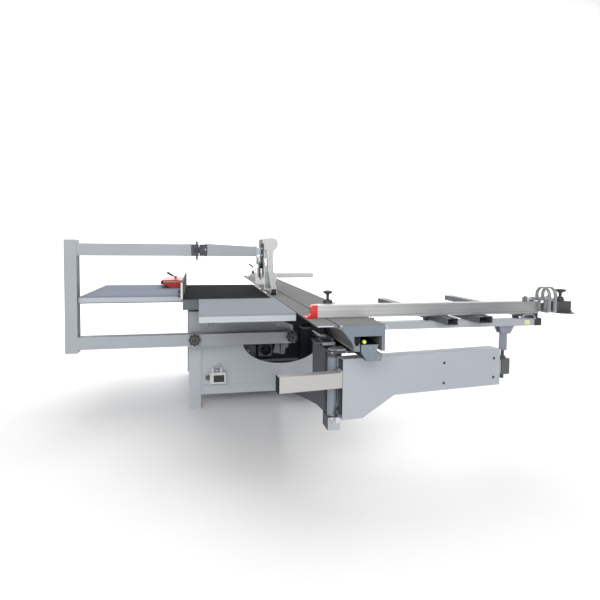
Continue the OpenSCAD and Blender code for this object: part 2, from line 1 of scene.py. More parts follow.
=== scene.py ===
import math
import bpy
import bmesh
from mathutils import Matrix, Vector
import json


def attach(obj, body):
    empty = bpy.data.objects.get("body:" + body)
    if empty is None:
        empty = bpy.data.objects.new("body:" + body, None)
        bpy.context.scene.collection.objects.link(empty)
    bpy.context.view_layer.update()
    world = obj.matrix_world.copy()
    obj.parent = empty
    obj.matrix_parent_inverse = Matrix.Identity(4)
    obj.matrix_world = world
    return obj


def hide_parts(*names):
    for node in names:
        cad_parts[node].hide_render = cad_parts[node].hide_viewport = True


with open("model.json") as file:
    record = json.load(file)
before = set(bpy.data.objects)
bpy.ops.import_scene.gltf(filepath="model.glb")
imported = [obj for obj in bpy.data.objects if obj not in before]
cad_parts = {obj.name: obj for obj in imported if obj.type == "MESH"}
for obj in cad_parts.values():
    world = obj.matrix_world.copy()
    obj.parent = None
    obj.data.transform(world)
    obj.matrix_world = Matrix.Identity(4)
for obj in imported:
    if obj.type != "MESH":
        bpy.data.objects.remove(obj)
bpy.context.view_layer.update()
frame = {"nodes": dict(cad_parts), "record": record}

OX, OY = 588.0, 3405.0
ZT = 860.0
EDGE = 46


def W(x, y, z):
    """Machine millimetres to row-frame metres."""
    return Vector(((x - OX) / 1000.0, (y - OY) / 1000.0, z / 1000.0))


# ---------------------------------------------------------------- materials
def nt_new(name):
    m = bpy.data.materials.new(name)
    m.use_nodes = True
    t = m.node_tree
    t.nodes.clear()
    out = t.nodes.new("ShaderNodeOutputMaterial")
    b = t.nodes.new("ShaderNodeBsdfPrincipled")
    t.links.new(b.outputs["BSDF"], out.inputs["Surface"])
    return m, t, b


def noise(t, vec, scale, detail=3.0, rough=0.5):
    n = t.nodes.new("ShaderNodeTexNoise")
    n.inputs["Scale"].default_value = scale
    n.inputs["Detail"].default_value = detail
    n.inputs["Roughness"].default_value = rough
    t.links.new(vec, n.inputs["Vector"])
    return n.outputs["Fac"]


def stretch(t, sx, sy, sz):
    tc = t.nodes.new("ShaderNodeTexCoord")
    mp = t.nodes.new("ShaderNodeMapping")
    mp.inputs["Scale"].default_value = (sx, sy, sz)
    t.links.new(tc.outputs["Object"], mp.inputs["Vector"])
    return mp.outputs["Vector"]


def ramp(t, fac, stops):
    r = t.nodes.new("ShaderNodeValToRGB")
    els = r.color_ramp.elements
    els[0].position, els[0].color = stops[0][0], stops[0][1]
    els[1].position, els[1].color = stops[-1][0], stops[-1][1]
    for p, c in stops[1:-1]:
        e = els.new(p)
        e.color = c
    t.links.new(fac, r.inputs["Fac"])
    return r.outputs["Color"]


def maprange(t, fac, a, b):
    m = t.nodes.new("ShaderNodeMapRange")
    m.inputs["From Min"].default_value = 0.25
    m.inputs["From Max"].default_value = 0.75
    m.inputs["To Min"].default_value = a
    m.inputs["To Max"].default_value = b
    t.links.new(fac, m.inputs["Value"])
    return m.outputs["Result"]


def bump(t, b, height, strength, dist):
    n = t.nodes.new("ShaderNodeBump")
    n.inputs["Strength"].default_value = strength
    n.inputs["Distance"].default_value = dist
    t.links.new(height, n.inputs["Height"])
    t.links.new(n.outputs["Normal"], b.inputs["Normal"])
    return n


def shade(c, k):
    return tuple(max(0.0, min(1.0, v * k)) for v in c[:3]) + (1.0,)


def surface(name, col, rough=(0.35, 0.5), metal=0.0, vary=0.06, fine=900.0, bumpy=0.15, dist=0.0004,
            dust=0.0, dustcol=(0.45, 0.42, 0.38), grain=(1, 1, 1), spec=None, coat=0.0):
    """Procedural surface: broad tone variation, fine grain in colour, roughness and bump, and some dust."""
    m, t, b = nt_new(name)
    v = stretch(t, 1, 1, 1)
    g = stretch(t, *grain)
    big = noise(t, v, 2.3, 4.0, 0.6)
    small = noise(t, g, fine, 2.0, 0.6)
    mid = noise(t, g, fine * 0.12, 4.0, 0.65)
    c = ramp(t, big, [(0.25, shade(col, 1 - vary)), (0.75, shade(col, 1 + vary))])
    mx = t.nodes.new("ShaderNodeMix")
    mx.data_type = "RGBA"
    mx.blend_type = "MULTIPLY"
    mx.inputs["Factor"].default_value = 1.0
    t.links.new(c, mx.inputs["A"])
    s2 = ramp(t, small, [(0.2, (1 - vary * 0.8,) * 3 + (1,)), (0.8, (1.0, 1.0, 1.0, 1))])
    t.links.new(s2, mx.inputs["B"])
    last = mx.outputs["Result"]
    if dust > 0:
        d = t.nodes.new("ShaderNodeMix")
        d.data_type = "RGBA"
        fac = maprange(t, mid, 0.0, dust)
        t.links.new(fac, d.inputs["Factor"])
        t.links.new(last, d.inputs["A"])
        d.inputs["B"].default_value = shade(dustcol, 1)
        last = d.outputs["Result"]
    t.links.new(last, b.inputs["Base Color"])
    t.links.new(maprange(t, mid, rough[0], rough[1]), b.inputs["Roughness"])
    b.inputs["Metallic"].default_value = metal
    if spec is not None:
        b.inputs["Specular IOR Level"].default_value = spec
    if coat:
        b.inputs["Coat Weight"].default_value = coat
        b.inputs["Coat Roughness"].default_value = 0.25
    bump(t, b, small, bumpy, dist)
    return m


MATS = {
    "machine_paint": surface("m_machine_paint", (0.36, 0.385, 0.415), (0.42, 0.54), vary=0.04, fine=700, bumpy=0.12, spec=0.35),
    "arm_paint": surface("m_arm_paint", (0.375, 0.40, 0.435), (0.40, 0.52), vary=0.035, fine=700, bumpy=0.12, spec=0.35),
    "tube_paint": surface("m_tube_paint", (0.42, 0.415, 0.395), (0.38, 0.5), vary=0.035, fine=700, bumpy=0.12),
    "blue_paint": surface("m_blue_paint", (0.155, 0.19, 0.225), (0.38, 0.5), vary=0.06, fine=700, bumpy=0.12),
    "black_paint": surface("m_black_paint", (0.045, 0.05, 0.06), (0.35, 0.5), vary=0.10, fine=800, bumpy=0.2),
    "motor_paint": surface("m_motor_paint", (0.05, 0.065, 0.085), (0.4, 0.55), vary=0.10, fine=500, bumpy=0.3, dust=0.3, dustcol=(0.2, 0.21, 0.23)),
    "red_paint": surface("m_red_paint", (0.60, 0.012, 0.016), (0.25, 0.38), vary=0.05, fine=800, bumpy=0.08, coat=0.2),
    "cast_table": surface("m_cast_table", (0.036, 0.037, 0.040), (0.66, 0.8), metal=0.0, vary=0.14, fine=500, bumpy=0.18, grain=(1, 0.25, 1), spec=0.0),
    "cast_inner": surface("m_cast_inner", (0.085, 0.098, 0.112), (0.5, 0.7), metal=0.0, vary=0.10, fine=260, bumpy=0.4, dist=0.0008, dust=0.15, dustcol=(0.2, 0.21, 0.23)),
    "dark_sheet": surface("m_dark_sheet", (0.042, 0.047, 0.055), (0.45, 0.6), vary=0.12, fine=500, bumpy=0.25, dust=0.25, dustcol=(0.16, 0.17, 0.19)),
    "table_sheet": surface("m_table_sheet", (0.25, 0.27, 0.295), (0.6, 0.72), vary=0.04, fine=800, bumpy=0.10, grain=(0.1, 1, 1), spec=0.0),
    "side_sheet": surface("m_side_sheet", (0.225, 0.25, 0.29), (0.6, 0.72), vary=0.04, fine=800, bumpy=0.10, grain=(0.1, 1, 1), spec=0.0),
    "ground_steel": surface("m_ground_steel", (0.4, 0.41, 0.42), (0.22, 0.38), metal=1.0, vary=0.08, fine=600, bumpy=0.12, grain=(0.15, 1, 1)),
    "blade_steel": surface("m_blade_steel", (0.56, 0.57, 0.58), (0.18, 0.34), metal=1.0, vary=0.08, fine=500, bumpy=0.12),
    "bright_alu": surface("m_bright_alu", (0.5, 0.51, 0.515), (0.25, 0.4), metal=0.85, vary=0.05, fine=900, bumpy=0.10, grain=(1, 0.04, 1)),
    "anodised_alu": surface("m_anodised_alu", (0.195, 0.195, 0.197), (0.6, 0.75), metal=0.0, vary=0.07, fine=700, bumpy=0.14, grain=(1, 0.03, 1), spec=0.0),
    "bar_alu": surface("m_bar_alu", (0.17, 0.18, 0.19), (0.34, 0.48), metal=0.6, vary=0.07, fine=700, bumpy=0.14, grain=(1, 0.03, 1)),
    "dark_alu": surface("m_dark_alu", (0.10, 0.105, 0.11), (0.32, 0.46), metal=0.6, vary=0.10, fine=700, bumpy=0.14, grain=(0.03, 1, 1)),
    "white_plastic": surface("m_white_plastic", (0.6, 0.6, 0.6), (0.30, 0.42), vary=0.03, fine=900, bumpy=0.10),
    "dark_plastic": surface("m_dark_plastic", (0.03, 0.032, 0.036), (0.38, 0.55), vary=0.12, fine=700, bumpy=0.3),
    "green_plastic": surface("m_green_plastic", (0.02, 0.26, 0.06), (0.28, 0.4), vary=0.06, fine=800, bumpy=0.1),
    "black_rubber": surface("m_black_rubber", (0.02, 0.02, 0.021), (0.6, 0.8), vary=0.15, fine=500, bumpy=0.4),
    "belt_rubber": surface("m_belt_rubber", (0.025, 0.025, 0.026), (0.6, 0.8), vary=0.15, fine=400, bumpy=0.4, dust=0.25),
}


def shield_material():
    m, t, b = nt_new("m_clear_shield")
    v = stretch(t, 1, 1, 1)
    small = noise(t, v, 400, 2, 0.5)
    big = noise(t, v, 8, 3, 0.6)
    t.links.new(ramp(t, big, [(0.3, (0.30, 0.33, 0.34, 1)), (0.7, (0.40, 0.43, 0.44, 1))]), b.inputs["Base Color"])
    t.links.new(maprange(t, small, 0.14, 0.26), b.inputs["Roughness"])
    b.inputs["Alpha"].default_value = 0.5
    bump(t, b, small, 0.05, 0.0003)
    return m


MATS["clear_shield"] = shield_material()


def fence_material():
    """Brushed extrusion with a painted reflection: lighter at its stop end, as long anodised profiles look under a soft
    box.
    """
    m, t, b = nt_new("m_fence_alu")
    v = stretch(t, 1, 1, 1)
    g = stretch(t, 0.03, 1, 1)
    small = noise(t, g, 700, 2, 0.6)
    mid = noise(t, g, 60, 4, 0.65)
    sep = t.nodes.new("ShaderNodeSeparateXYZ")
    t.links.new(v, sep.inputs["Vector"])
    mr = t.nodes.new("ShaderNodeMapRange")
    mr.inputs["From Min"].default_value = 0.0
    mr.inputs["From Max"].default_value = 1.27
    t.links.new(sep.outputs["X"], mr.inputs["Value"])
    # painted reflection: tone ramp along x
    reflection_tone = ramp(t, mr.outputs["Result"], [(0.0, (0.60, 0.60, 0.60, 1)), (0.12, (0.50, 0.50, 0.50, 1)), (0.45, (0.33, 0.335, 0.34, 1)), (0.8, (0.27, 0.275, 0.28, 1)), (1.0, (0.42, 0.42, 0.425, 1))])
    mx = t.nodes.new("ShaderNodeMix")
    mx.data_type = "RGBA"
    mx.blend_type = "MULTIPLY"
    mx.inputs["Factor"].default_value = 1.0
    t.links.new(reflection_tone, mx.inputs["A"])
    t.links.new(ramp(t, small, [(0.2, (0.93, 0.93, 0.93, 1)), (0.8, (1, 1, 1, 1))]), mx.inputs["B"])
    t.links.new(mx.outputs["Result"], b.inputs["Base Color"])
    t.links.new(maprange(t, mid, 0.34, 0.46), b.inputs["Roughness"])
    b.inputs["Metallic"].default_value = 0.35
    bump(t, b, small, 0.14, 0.0004)
    return m


MATS["fence_alu"] = fence_material()
# painted highlight: pale strip colour standing in for light on the front edge faces of the side and outfeed tables
EDGE_PAINTED_HIGHLIGHT = surface("m_edge_painted_highlight", (0.43, 0.465, 0.495), (0.35, 0.48), vary=0.03, fine=900, bumpy=0.08, grain=(0.05, 1, 1))
RIM_PAINT = surface("m_rim_paint", (0.095, 0.114, 0.123), (0.42, 0.55), vary=0.06, fine=600, bumpy=0.2)
# painted shade with a little real dust: darkened machine paint for the hanger steps under the carriage and the shaded
# faces of the swing arm
PAINTED_SHADE_DUSTY = surface("m_painted_shade_dusty", (0.085, 0.098, 0.112), (0.45, 0.6), vary=0.08, fine=600, bumpy=0.15, dust=0.1, dustcol=(0.2, 0.2, 0.2))
BLOCK_GREY = surface("m_block_grey", (0.082, 0.084, 0.087), (0.42, 0.56), vary=0.06, fine=600, bumpy=0.15)
# painted shade: darkened copy of the machine paint for the pivot bracket and the shaded end and inner faces of the
# swing arm
BRACKET_PAINTED_SHADE = surface("m_bracket_painted_shade", (0.080, 0.088, 0.102), (0.45, 0.58), vary=0.05, fine=700, bumpy=0.12, spec=0.3)
# painted shade: darkened copy of the machine paint for the shaded faces of the support post
POST_PAINTED_SHADE = surface("m_post_painted_shade", (0.235, 0.25, 0.29), (0.42, 0.54), vary=0.05, fine=700, bumpy=0.12, spec=0.35)
PALE_ALU = surface("m_pale_alu", (0.60, 0.61, 0.62), (0.3, 0.42), metal=0.4, vary=0.05, fine=800, bumpy=0.1, grain=(0.03, 1, 1))
# near-black: real black plugs and feet, and painted shade for the slide beam, the hanger web and the skirt's underside
BLACK_PLASTIC_AND_PAINTED_SHADE = surface("m_black_plastic_and_painted_shade", (0.008, 0.0085, 0.011), (0.55, 0.7), vary=0.15, fine=500, bumpy=0.2, spec=0.2)
YELLOW = surface("m_bumper_rubber", (0.62, 0.75, 0.10), (0.5, 0.65), vary=0.06, fine=600, bumpy=0.25)
WHITE_TRIM = surface("m_white_trim", (0.78, 0.78, 0.77), (0.3, 0.42), vary=0.03, fine=900, bumpy=0.08)
TEAL = surface("m_teal_plastic", (0.03, 0.12, 0.13), (0.35, 0.5), vary=0.1, fine=700, bumpy=0.25)
DISPLAY = surface("m_display", (0.030, 0.034, 0.034), (0.12, 0.2), vary=0.1, fine=300, bumpy=0.05)
ZINC = surface("m_zinc", (0.52, 0.53, 0.55), (0.25, 0.4), metal=0.9, vary=0.08, fine=700, bumpy=0.15)
# painted light and shade: inner parts of the cabinet at the grey they show in its shade, lighter than the dark plastic
# knob's own colour
INNER_PAINTED_LIGHT_AND_SHADE = surface("m_inner_painted_light_and_shade", (0.15, 0.168, 0.19), (0.4, 0.55), vary=0.06, fine=600, bumpy=0.15)
FLIP_ALU = surface("m_flip_alu", (0.34, 0.35, 0.36), (0.28, 0.42), metal=0.55, vary=0.07, fine=800, bumpy=0.12, grain=(1, 1, 0.1))
# painted shade: dark grey for the near part of the carriage skirt
SKIRT_PAINTED_SHADE = surface("m_skirt_painted_shade", (0.085, 0.085, 0.086), (0.5, 0.65), vary=0.06, fine=700, bumpy=0.14, grain=(1, 0.03, 1), spec=0.15)
# painted shade: darkened copy of the arm paint for the sleeves round the pivot pole
SLEEVE_PAINTED_SHADE = surface("m_sleeve_painted_shade", (0.215, 0.24, 0.275), (0.4, 0.52), vary=0.05, fine=700, bumpy=0.12, spec=0.35)
# painted light: lightened copy of the machine paint, lifting the cabinet out of the tables' shadow
CABINET_PAINTED_LIGHT = surface("m_cabinet_painted_light", (0.455, 0.485, 0.52), (0.42, 0.54), vary=0.04, fine=700, bumpy=0.12, spec=0.35)
# painted shade: near-black for the cabinet's shaded interior
INNER_PAINTED_SHADE = surface("m_inner_painted_shade", (0.085, 0.093, 0.115), (0.5, 0.65), vary=0.12, fine=500, bumpy=0.2, spec=0.25)
INSERT_ALU = surface("m_insert_alu", (0.21, 0.215, 0.22), (0.45, 0.6), metal=0.2, vary=0.06, fine=800, bumpy=0.12, grain=(1, 0.05, 1), spec=0.1)
SHIELD_RED = surface("m_shield_red", (0.20, 0.035, 0.055), (0.4, 0.5), vary=0.12, fine=600, bumpy=0.1)
POLE_STEEL = surface("m_pole_steel", (0.30, 0.31, 0.33), (0.3, 0.45), metal=0.8, vary=0.08, fine=700, bumpy=0.12, grain=(1, 1, 0.05))
# painted shade for the right side face of the guard post
POST_SIDE_PAINTED_SHADE = surface("m_post_side_painted_shade", (0.125, 0.135, 0.155), (0.45, 0.58), vary=0.05, fine=700, bumpy=0.12, spec=0.3)
LABEL = surface("m_pale_label", (0.66, 0.70, 0.36), (0.4, 0.55), vary=0.05, fine=700, bumpy=0.08)
# light grey for bright plates, bolts, seams and edges; also the painted highlights along the carriage's near edge
LIGHT_GREY_AND_HIGHLIGHT = surface("m_light_grey_and_painted_highlight", (0.54, 0.575, 0.62), (0.38, 0.5), vary=0.04, fine=700, bumpy=0.12)


# ---------------------------------------------------------------- helpers
def finish_mesh(name, bm, mat, body, bevel=0.0, smooth=35, segs=2):
    me = bpy.data.meshes.new(name)
    bmesh.ops.remove_doubles(bm, verts=bm.verts, dist=1e-7)
    bmesh.ops.recalc_face_normals(bm, faces=bm.faces)
    bm.to_mesh(me)
    bm.free()
    ob = bpy.data.objects.new(name, me)
    bpy.context.scene.collection.objects.link(ob)
    me.materials.append(mat if not isinstance(mat, str) else MATS[mat])
    for p in me.polygons:
        p.use_smooth = True
    me.set_sharp_from_angle(angle=math.radians(smooth))
    if bevel > 0:
        mod = ob.modifiers.new("edge", "BEVEL")
        mod.width = bevel / 1000.0
        mod.segments = segs
        mod.limit_method = "ANGLE"
        mod.angle_limit = math.radians(40)
        mod.harden_normals = False
    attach(ob, body)
    return ob


def add_box(bm, x0, x1, y0, y1, z0, z1):
    vs = [bm.verts.new(W(x, y, z)) for x in (x0, x1) for y in (y0, y1) for z in (z0, z1)]
    for f in ((0, 1, 3, 2), (4, 6, 7, 5), (0, 4, 5, 1), (2, 3, 7, 6), (0, 2, 6, 4), (1, 5, 7, 3)):
        bm.faces.new([vs[i] for i in f])


def box(name, mat, body, x0, x1, y0, y1, z0, z1, bevel=1.0):
    bm = bmesh.new()
    add_box(bm, x0, x1, y0, y1, z0, z1)
    return finish_mesh(name, bm, mat, body, bevel)


def lathe(bm, prof, origin, axis, n=32, ang0=0.0):
    """prof: (radius, along) in mm, closed on the axis at both ends when radius is 0."""
    axis = Vector(axis).normalized()
    ref = Vector((0, 0, 1)) if abs(axis.z) < 0.9 else Vector((1, 0, 0))
    u = axis.cross(ref).normalized()
    w = axis.cross(u).normalized()
    o = Vector(origin)
    rings = []
    for r, h in prof:
        if r <= 1e-6:
            p = o + axis * h
            rings.append([bm.verts.new(W(*p))])
        else:
            ring = []
            for i in range(n):
                a = ang0 + 2 * math.pi * i / n
                p = o + axis * h + (u * math.cos(a) + w * math.sin(a)) * r
                ring.append(bm.verts.new(W(*p)))
            rings.append(ring)
    for a, b in zip(rings, rings[1:]):
        if len(a) == 1 and len(b) == 1:
            continue
        for i in range(n):
            j = (i + 1) % n
            if len(a) == 1:
                bm.faces.new((a[0], b[j], b[i]))
            elif len(b) == 1:
                bm.faces.new((a[i], a[j], b[0]))
            else:
                bm.faces.new((a[i], a[j], b[j], b[i]))
    for ring, flip in ((rings[0], True), (rings[-1], False)):
        if len(ring) > 1:
            bm.faces.new(ring if not flip else list(reversed(ring)))


def turned(name, mat, body, prof, origin, axis, n=32, bevel=0.0):
    bm = bmesh.new()
    lathe(bm, prof, origin, axis, n)
    return finish_mesh(name, bm, mat, body, bevel)


def prism(bm, pts, a, b, plane="xz"):
    """pts in the plane's two coordinates, swept from a to b along the third."""
    def at(p, d):
        if plane == "xz":
            return W(p[0], d, p[1])
        if plane == "yz":
            return W(d, p[0], p[1])
        return W(p[0], p[1], d)
    lo = [bm.verts.new(at(p, a)) for p in pts]
    hi = [bm.verts.new(at(p, b)) for p in pts]
    n = len(pts)
    bm.faces.new(lo)
    bm.faces.new(list(reversed(hi)))
    for i in range(n):
        j = (i + 1) % n
        bm.faces.new((lo[j], lo[i], hi[i], hi[j]))


def swept(name, mat, body, pts, a, b, plane="xz", bevel=0.8):
    bm = bmesh.new()
    prism(bm, pts, a, b, plane)
    return finish_mesh(name, bm, mat, body, bevel)


def screws(name, mat, body, places, axis, r=5.0, h=4.0, hexa=True):
    """Socket-head or hexagon screws at places, standing out along axis."""
    bm = bmesh.new()
    for p in places:
        if hexa:
            lathe(bm, [(0, -1), (r * 1.25, -1), (r * 1.25, 0.8), (0, 0.8)], p, axis, 24)
            lathe(bm, [(0, 0.5), (r, 0.5), (r, h * 0.8), (r * 0.8, h), (0, h)], p, axis, 6)
        else:
            lathe(bm, [(0, -1), (r, -1), (r, h * 0.75), (r * 0.85, h), (r * 0.5, h), (r * 0.5, h * 0.4), (0, h * 0.4)], p, axis, 24)
    return finish_mesh(name, bm, mat, body, 0.0, 30)


# ---------------------------------------------------------------- CAD nodes: materials and softened edges
SLOT_OF = {s["node"]: s["material_slot"] for s in frame["record"]["subparts"]}
SOFT = {"outfeed_table": 1.5, "side_table": 1.5, "guard_hood": 2.5, "swing_arm": 2.0, "inner_tube": 2.5, "guard_post": 3.5, "guard_upper_beam": 3.5,
        "guard_lower_beam": 3.0, "rip_carrier": 3.0, "fence_end_stop": 2.0, "base_cabinet": 1.2, "outrigger_rails": 2.0, "guard_arm": 3.0,
        "cross_bar": 1.2, "hinge_yoke": 1.5, "readout_box": 2.0, "pivot_bracket": 1.5}
# base_cabinet gets painted light; pivot_bracket, slide_beam and support_post get painted shade
LOOK = {"base_cabinet": CABINET_PAINTED_LIGHT, "table_insert": INSERT_ALU, "pivot_bracket": BRACKET_PAINTED_SHADE, "slide_beam": BLACK_PLASTIC_AND_PAINTED_SHADE, "flip_stop_left": FLIP_ALU, "flip_stop_right": FLIP_ALU, "cross_bar": PALE_ALU,
        "support_post": POST_PAINTED_SHADE, "stop_rod": PALE_ALU, "pivot_pole": POLE_STEEL}
for node, ob in frame["nodes"].items():
    m = LOOK.get(node, MATS[SLOT_OF[node]])
    if len(ob.data.materials) == 0:
        ob.data.materials.append(m)
    else:
        for i in range(len(ob.data.materials)):
            ob.data.materials[i] = m
    w = ob.modifiers.new("weld", "WELD")
    w.merge_threshold = 0.00001
    if node == "guard_lower_beam":
        continue
    bv = ob.modifiers.new("edge", "BEVEL")
    bv.width = SOFT.get(node, 0.6) / 1000.0
    bv.segments = 2
    bv.limit_method = "ANGLE"
    bv.angle_limit = math.radians(40)
    bv.harden_normals = False
    wn = ob.modifiers.new("normals", "WEIGHTED_NORMAL")
    wn.keep_sharp = True
    wn.weight = 100

# ---------------------------------------------------------------- stage
bm = bmesh.new()
prof = [(-9.0 + 16.0 * i / 20, -0.001) for i in range(21)]
prof += [(7.0 + 3.0 * math.sin(math.pi * i / 32), 2.999 - 3.0 * math.cos(math.pi * i / 32)) for i in range(1, 17)]
prof += [(10.0, 3.0 + 1.5 * i) for i in range(1, 8)]
grid = [[bm.verts.new((x * 16.0, y, z)) for x in (-1.0, -0.33, 0.33, 1.0)] for y, z in prof]
for a, b in zip(grid, grid[1:]):
    for i in range(3):
        bm.faces.new((a[i], a[i + 1], b[i + 1], b[i]))
for f in bm.faces:
    f.smooth = True
me = bpy.data.meshes.new("studio_floor")
bm.to_mesh(me)
bm.free()
floor = bpy.data.objects.new("studio_floor", me)
bpy.context.scene.collection.objects.link(floor)
me.materials.append(surface("m_floor", (0.86, 0.86, 0.86), (0.6, 0.75), vary=0.01, fine=40, bumpy=0.02))

world = bpy.data.worlds.new("studio")
bpy.context.scene.world = world
world.use_nodes = True
bg = world.node_tree.nodes["Background"]
bg.inputs["Color"].default_value = (1, 1, 1, 1)
bg.inputs["Strength"].default_value = 0.52


def area(name, loc, target, size, power, color=(1, 1, 1)):
    d = bpy.data.lights.new(name, "AREA")
    d.shape = "RECTANGLE"
    d.size, d.size_y = size
    d.energy = power
    d.color = color
    o = bpy.data.objects.new(name, d)
    bpy.context.scene.collection.objects.link(o)
    o.location = loc
    o.rotation_euler = (Vector(target) - Vector(loc)).to_track_quat("-Z", "Y").to_euler()
    return o


area("key", (-1.5, -5.4, 3.2), (0.2, -0.6, 0.55), (3.2, 2.4), 140)
area("low", (0.4, -5.4, 0.55), (-0.2, -0.3, 0.45), (3.4, 0.8), 22)
area("top", (0.4, 0.6, 4.6), (0.2, 0.0, 0.8), (5.0, 4.0), 150)
area("wall", (4.2, 4.5, 7.0), (4.2, 10.0, 3.0), (22.0, 3.0), 1800)
area("fill", (4.2, -3.0, 2.4), (0.6, -0.8, 0.5), (2.5, 2.0), 12)

# ---------------------------------------------------------------- camera
cam = bpy.data.cameras.new("camera")
cam.sensor_width = 36.0
cam.sensor_fit = "HORIZONTAL"
cam.lens = 25.2
cam.shift_x = 0.0417
cam.shift_y = -0.0567
cam.clip_start = 0.05
cam.clip_end = 60
co = bpy.data.objects.new("camera", cam)
bpy.context.scene.collection.objects.link(co)
right = Vector((0.98363057, -0.17998636, 0.00870705))
up = Vector((0.00013736, 0.04906854, 0.99879540))
back = Vector((-0.18019679, -0.98244450, 0.04829004))
M = Matrix.Identity(4)
for i in range(3):
    M[i][0], M[i][1], M[i][2] = right[i], up[i], back[i]
M[0][3], M[1][3], M[2][3] = -OX / 1000.0, -OY / 1000.0, 1.220
co.matrix_world = M
bpy.context.scene.camera = co
bpy.context.scene.view_settings.view_transform = "Standard"
bpy.context.scene.view_settings.look = "None"

# DETAILS BEGIN
# ---------------------------------------------------------------- details
def ring_piece(name, mat, body, loop, origin, axis, n=40, bevel=0.0):
    """A closed profile loop (radius, along) turned about an axis, leaving a bore."""
    bm = bmesh.new()
    ax = Vector(axis).normalized()
    ref = Vector((0, 0, 1)) if abs(ax.z) < 0.9 else Vector((1, 0, 0))
    u = ax.cross(ref).normalized()
    w = ax.cross(u).normalized()
    o = Vector(origin)
    rings = []
    for r, h in loop:
        rings.append([bm.verts.new(W(*(o + ax * h + (u * math.cos(2 * math.pi * i / n) + w * math.sin(2 * math.pi * i / n)) * r))) for i in range(n)])
    m = len(rings)
    for k in range(m):
        a, b = rings[k], rings[(k + 1) % m]
        for i in range(n):
            j = (i + 1) % n
            bm.faces.new((a[i], a[j], b[j], b[i]))
    return finish_mesh(name, bm, mat, body, bevel)


def tube_along(bm, pts, r, n=12, closed=False):
    """A round bar through the given points (machine mm)."""
    P = [Vector(p) for p in pts]
    rings = []
    k = len(P)
    for i in range(k):
        a = P[(i - 1) % k] if (closed or i > 0) else P[i]
        b = P[(i + 1) % k] if (closed or i < k - 1) else P[i]
        d = (b - a).normalized()
        ref = Vector((0, 1, 0)) if abs(d.y) < 0.9 else Vector((1, 0, 0))
        u = d.cross(ref).normalized()
        w = d.cross(u).normalized()
        rings.append([bm.verts.new(W(*(P[i] + (u * math.cos(2 * math.pi * j / n) + w * math.sin(2 * math.pi * j / n)) * r))) for j in range(n)])
    rng = range(k) if closed else range(k - 1)
    for i in rng:
        a, b = rings[i], rings[(i + 1) % k]
        for j in range(n):
            q = (j + 1) % n
            bm.faces.new((a[j], a[q], b[q], b[j]))
    if not closed:
        bm.faces.new(rings[0])
        bm.faces.new(list(reversed(rings[-1])))


def lobed(name, mat, body, origin, axis, r, h, lobes=6, depth=0.12, dome=0.25):
    """A lobed hand knob head."""
    bm = bmesh.new()
    ax = Vector(axis).normalized()
    ref = Vector((0, 0, 1)) if abs(ax.z) < 0.9 else Vector((1, 0, 0))
    u = ax.cross(ref).normalized()
    w = ax.cross(u).normalized()
    o = Vector(origin)
    n = lobes * 10
    prof = [(0.0, 0.0), (0.86, 0.0), (0.97, 0.10 * h), (1.0, 0.25 * h), (1.0, 0.70 * h), (0.94, 0.88 * h), (0.80, 0.97 * h), (0.45, h * (1 + dome * 0.3)), (0.0, h * (1 + dome * 0.35))]
    rings = []
    for f, t in prof:
        if f == 0.0:
            rings.append([bm.verts.new(W(*(o + ax * t)))])
            continue
        ring = []
        for i in range(n):
            a = 2 * math.pi * i / n
            k = 1 - depth * (0.5 - 0.5 * math.cos(lobes * a)) * (f ** 2)
            ring.append(bm.verts.new(W(*(o + ax * t + (u * math.cos(a) + w * math.sin(a)) * r * f * k))))
        rings.append(ring)
    for a, b in zip(rings, rings[1:]):
        for i in range(n):
            j = (i + 1) % n
            if len(a) == 1:
                bm.faces.new((a[0], b[j], b[i]))
            elif len(b) == 1:
                bm.faces.new((a[i], a[j], b[0]))
            else:
                bm.faces.new((a[i], a[j], b[j], b[i]))
    return finish_mesh(name, bm, mat, body, 0.0, 50)


def thread(name, mat, body, origin, axis, r, length, pitch=2.5, n=24):
    bm = bmesh.new()
    prof = [(0, 0)]
    k = int(length / pitch)
    for i in range(k):
        prof += [(r * 0.88, i * pitch), (r, i * pitch + pitch * 0.5)]
    prof += [(r * 0.88, k * pitch), (0, k * pitch)]
    lathe(bm, prof, origin, axis, n)
    return finish_mesh(name, bm, mat, body, 0.0, 20)


# --- guard frame and hinge
screws("beam_end_bolts", LIGHT_GREY_AND_HIGHLIGHT, "machine_base", [(-84, 3034, ZT + 366), (-56, 3034, ZT + 366)], (0, 0, 1), 6.5, 7)
screws("beam_end_bolts_low", LIGHT_GREY_AND_HIGHLIGHT, "machine_base", [(-84, 3034, ZT + 282), (-56, 3034, ZT + 282)], (0, 0, -1), 6.5, 7)
bm = bmesh.new()
add_box(bm, -45, -24, 3003.5, 3006.5, ZT + 286, ZT + 361)
add_box(bm, -43, -26, 3003.8, 3006.5, ZT + 318, ZT + 330)
finish_mesh("hinge_face_plate", bm, "black_paint", "machine_base", 0.8)
turned("hinge_pin_head", "dark_plastic", "machine_base", [(0, 0), (9.5, 0), (9.5, 5), (6, 8), (0, 8)], (-8, 3014, ZT + 378), (0, 0, 1), 24)
turned("hinge_pin_nut", "blue_paint", "machine_base", [(0, 0), (10, 0), (10, 9), (7, 12), (0, 12)], (-8, 3014, ZT + 268), (0, 0, -1), 24)
screws("lower_beam_screw", ZINC, "machine_base", [(330, 3000, ZT - 313), (150, 3000, ZT - 313)], (0, -1, 0), 3, 2.5)
box("post_foot_plug", "dark_plastic", "machine_base", -874.5, -805.5, 3005.5, 3074.5, 479.5, 484, 1.0)
box("post_weld_plate", "machine_paint", "machine_base", -872, -808, 3000, 3080, ZT + 391 - 0.4, ZT + 391, 0.2)
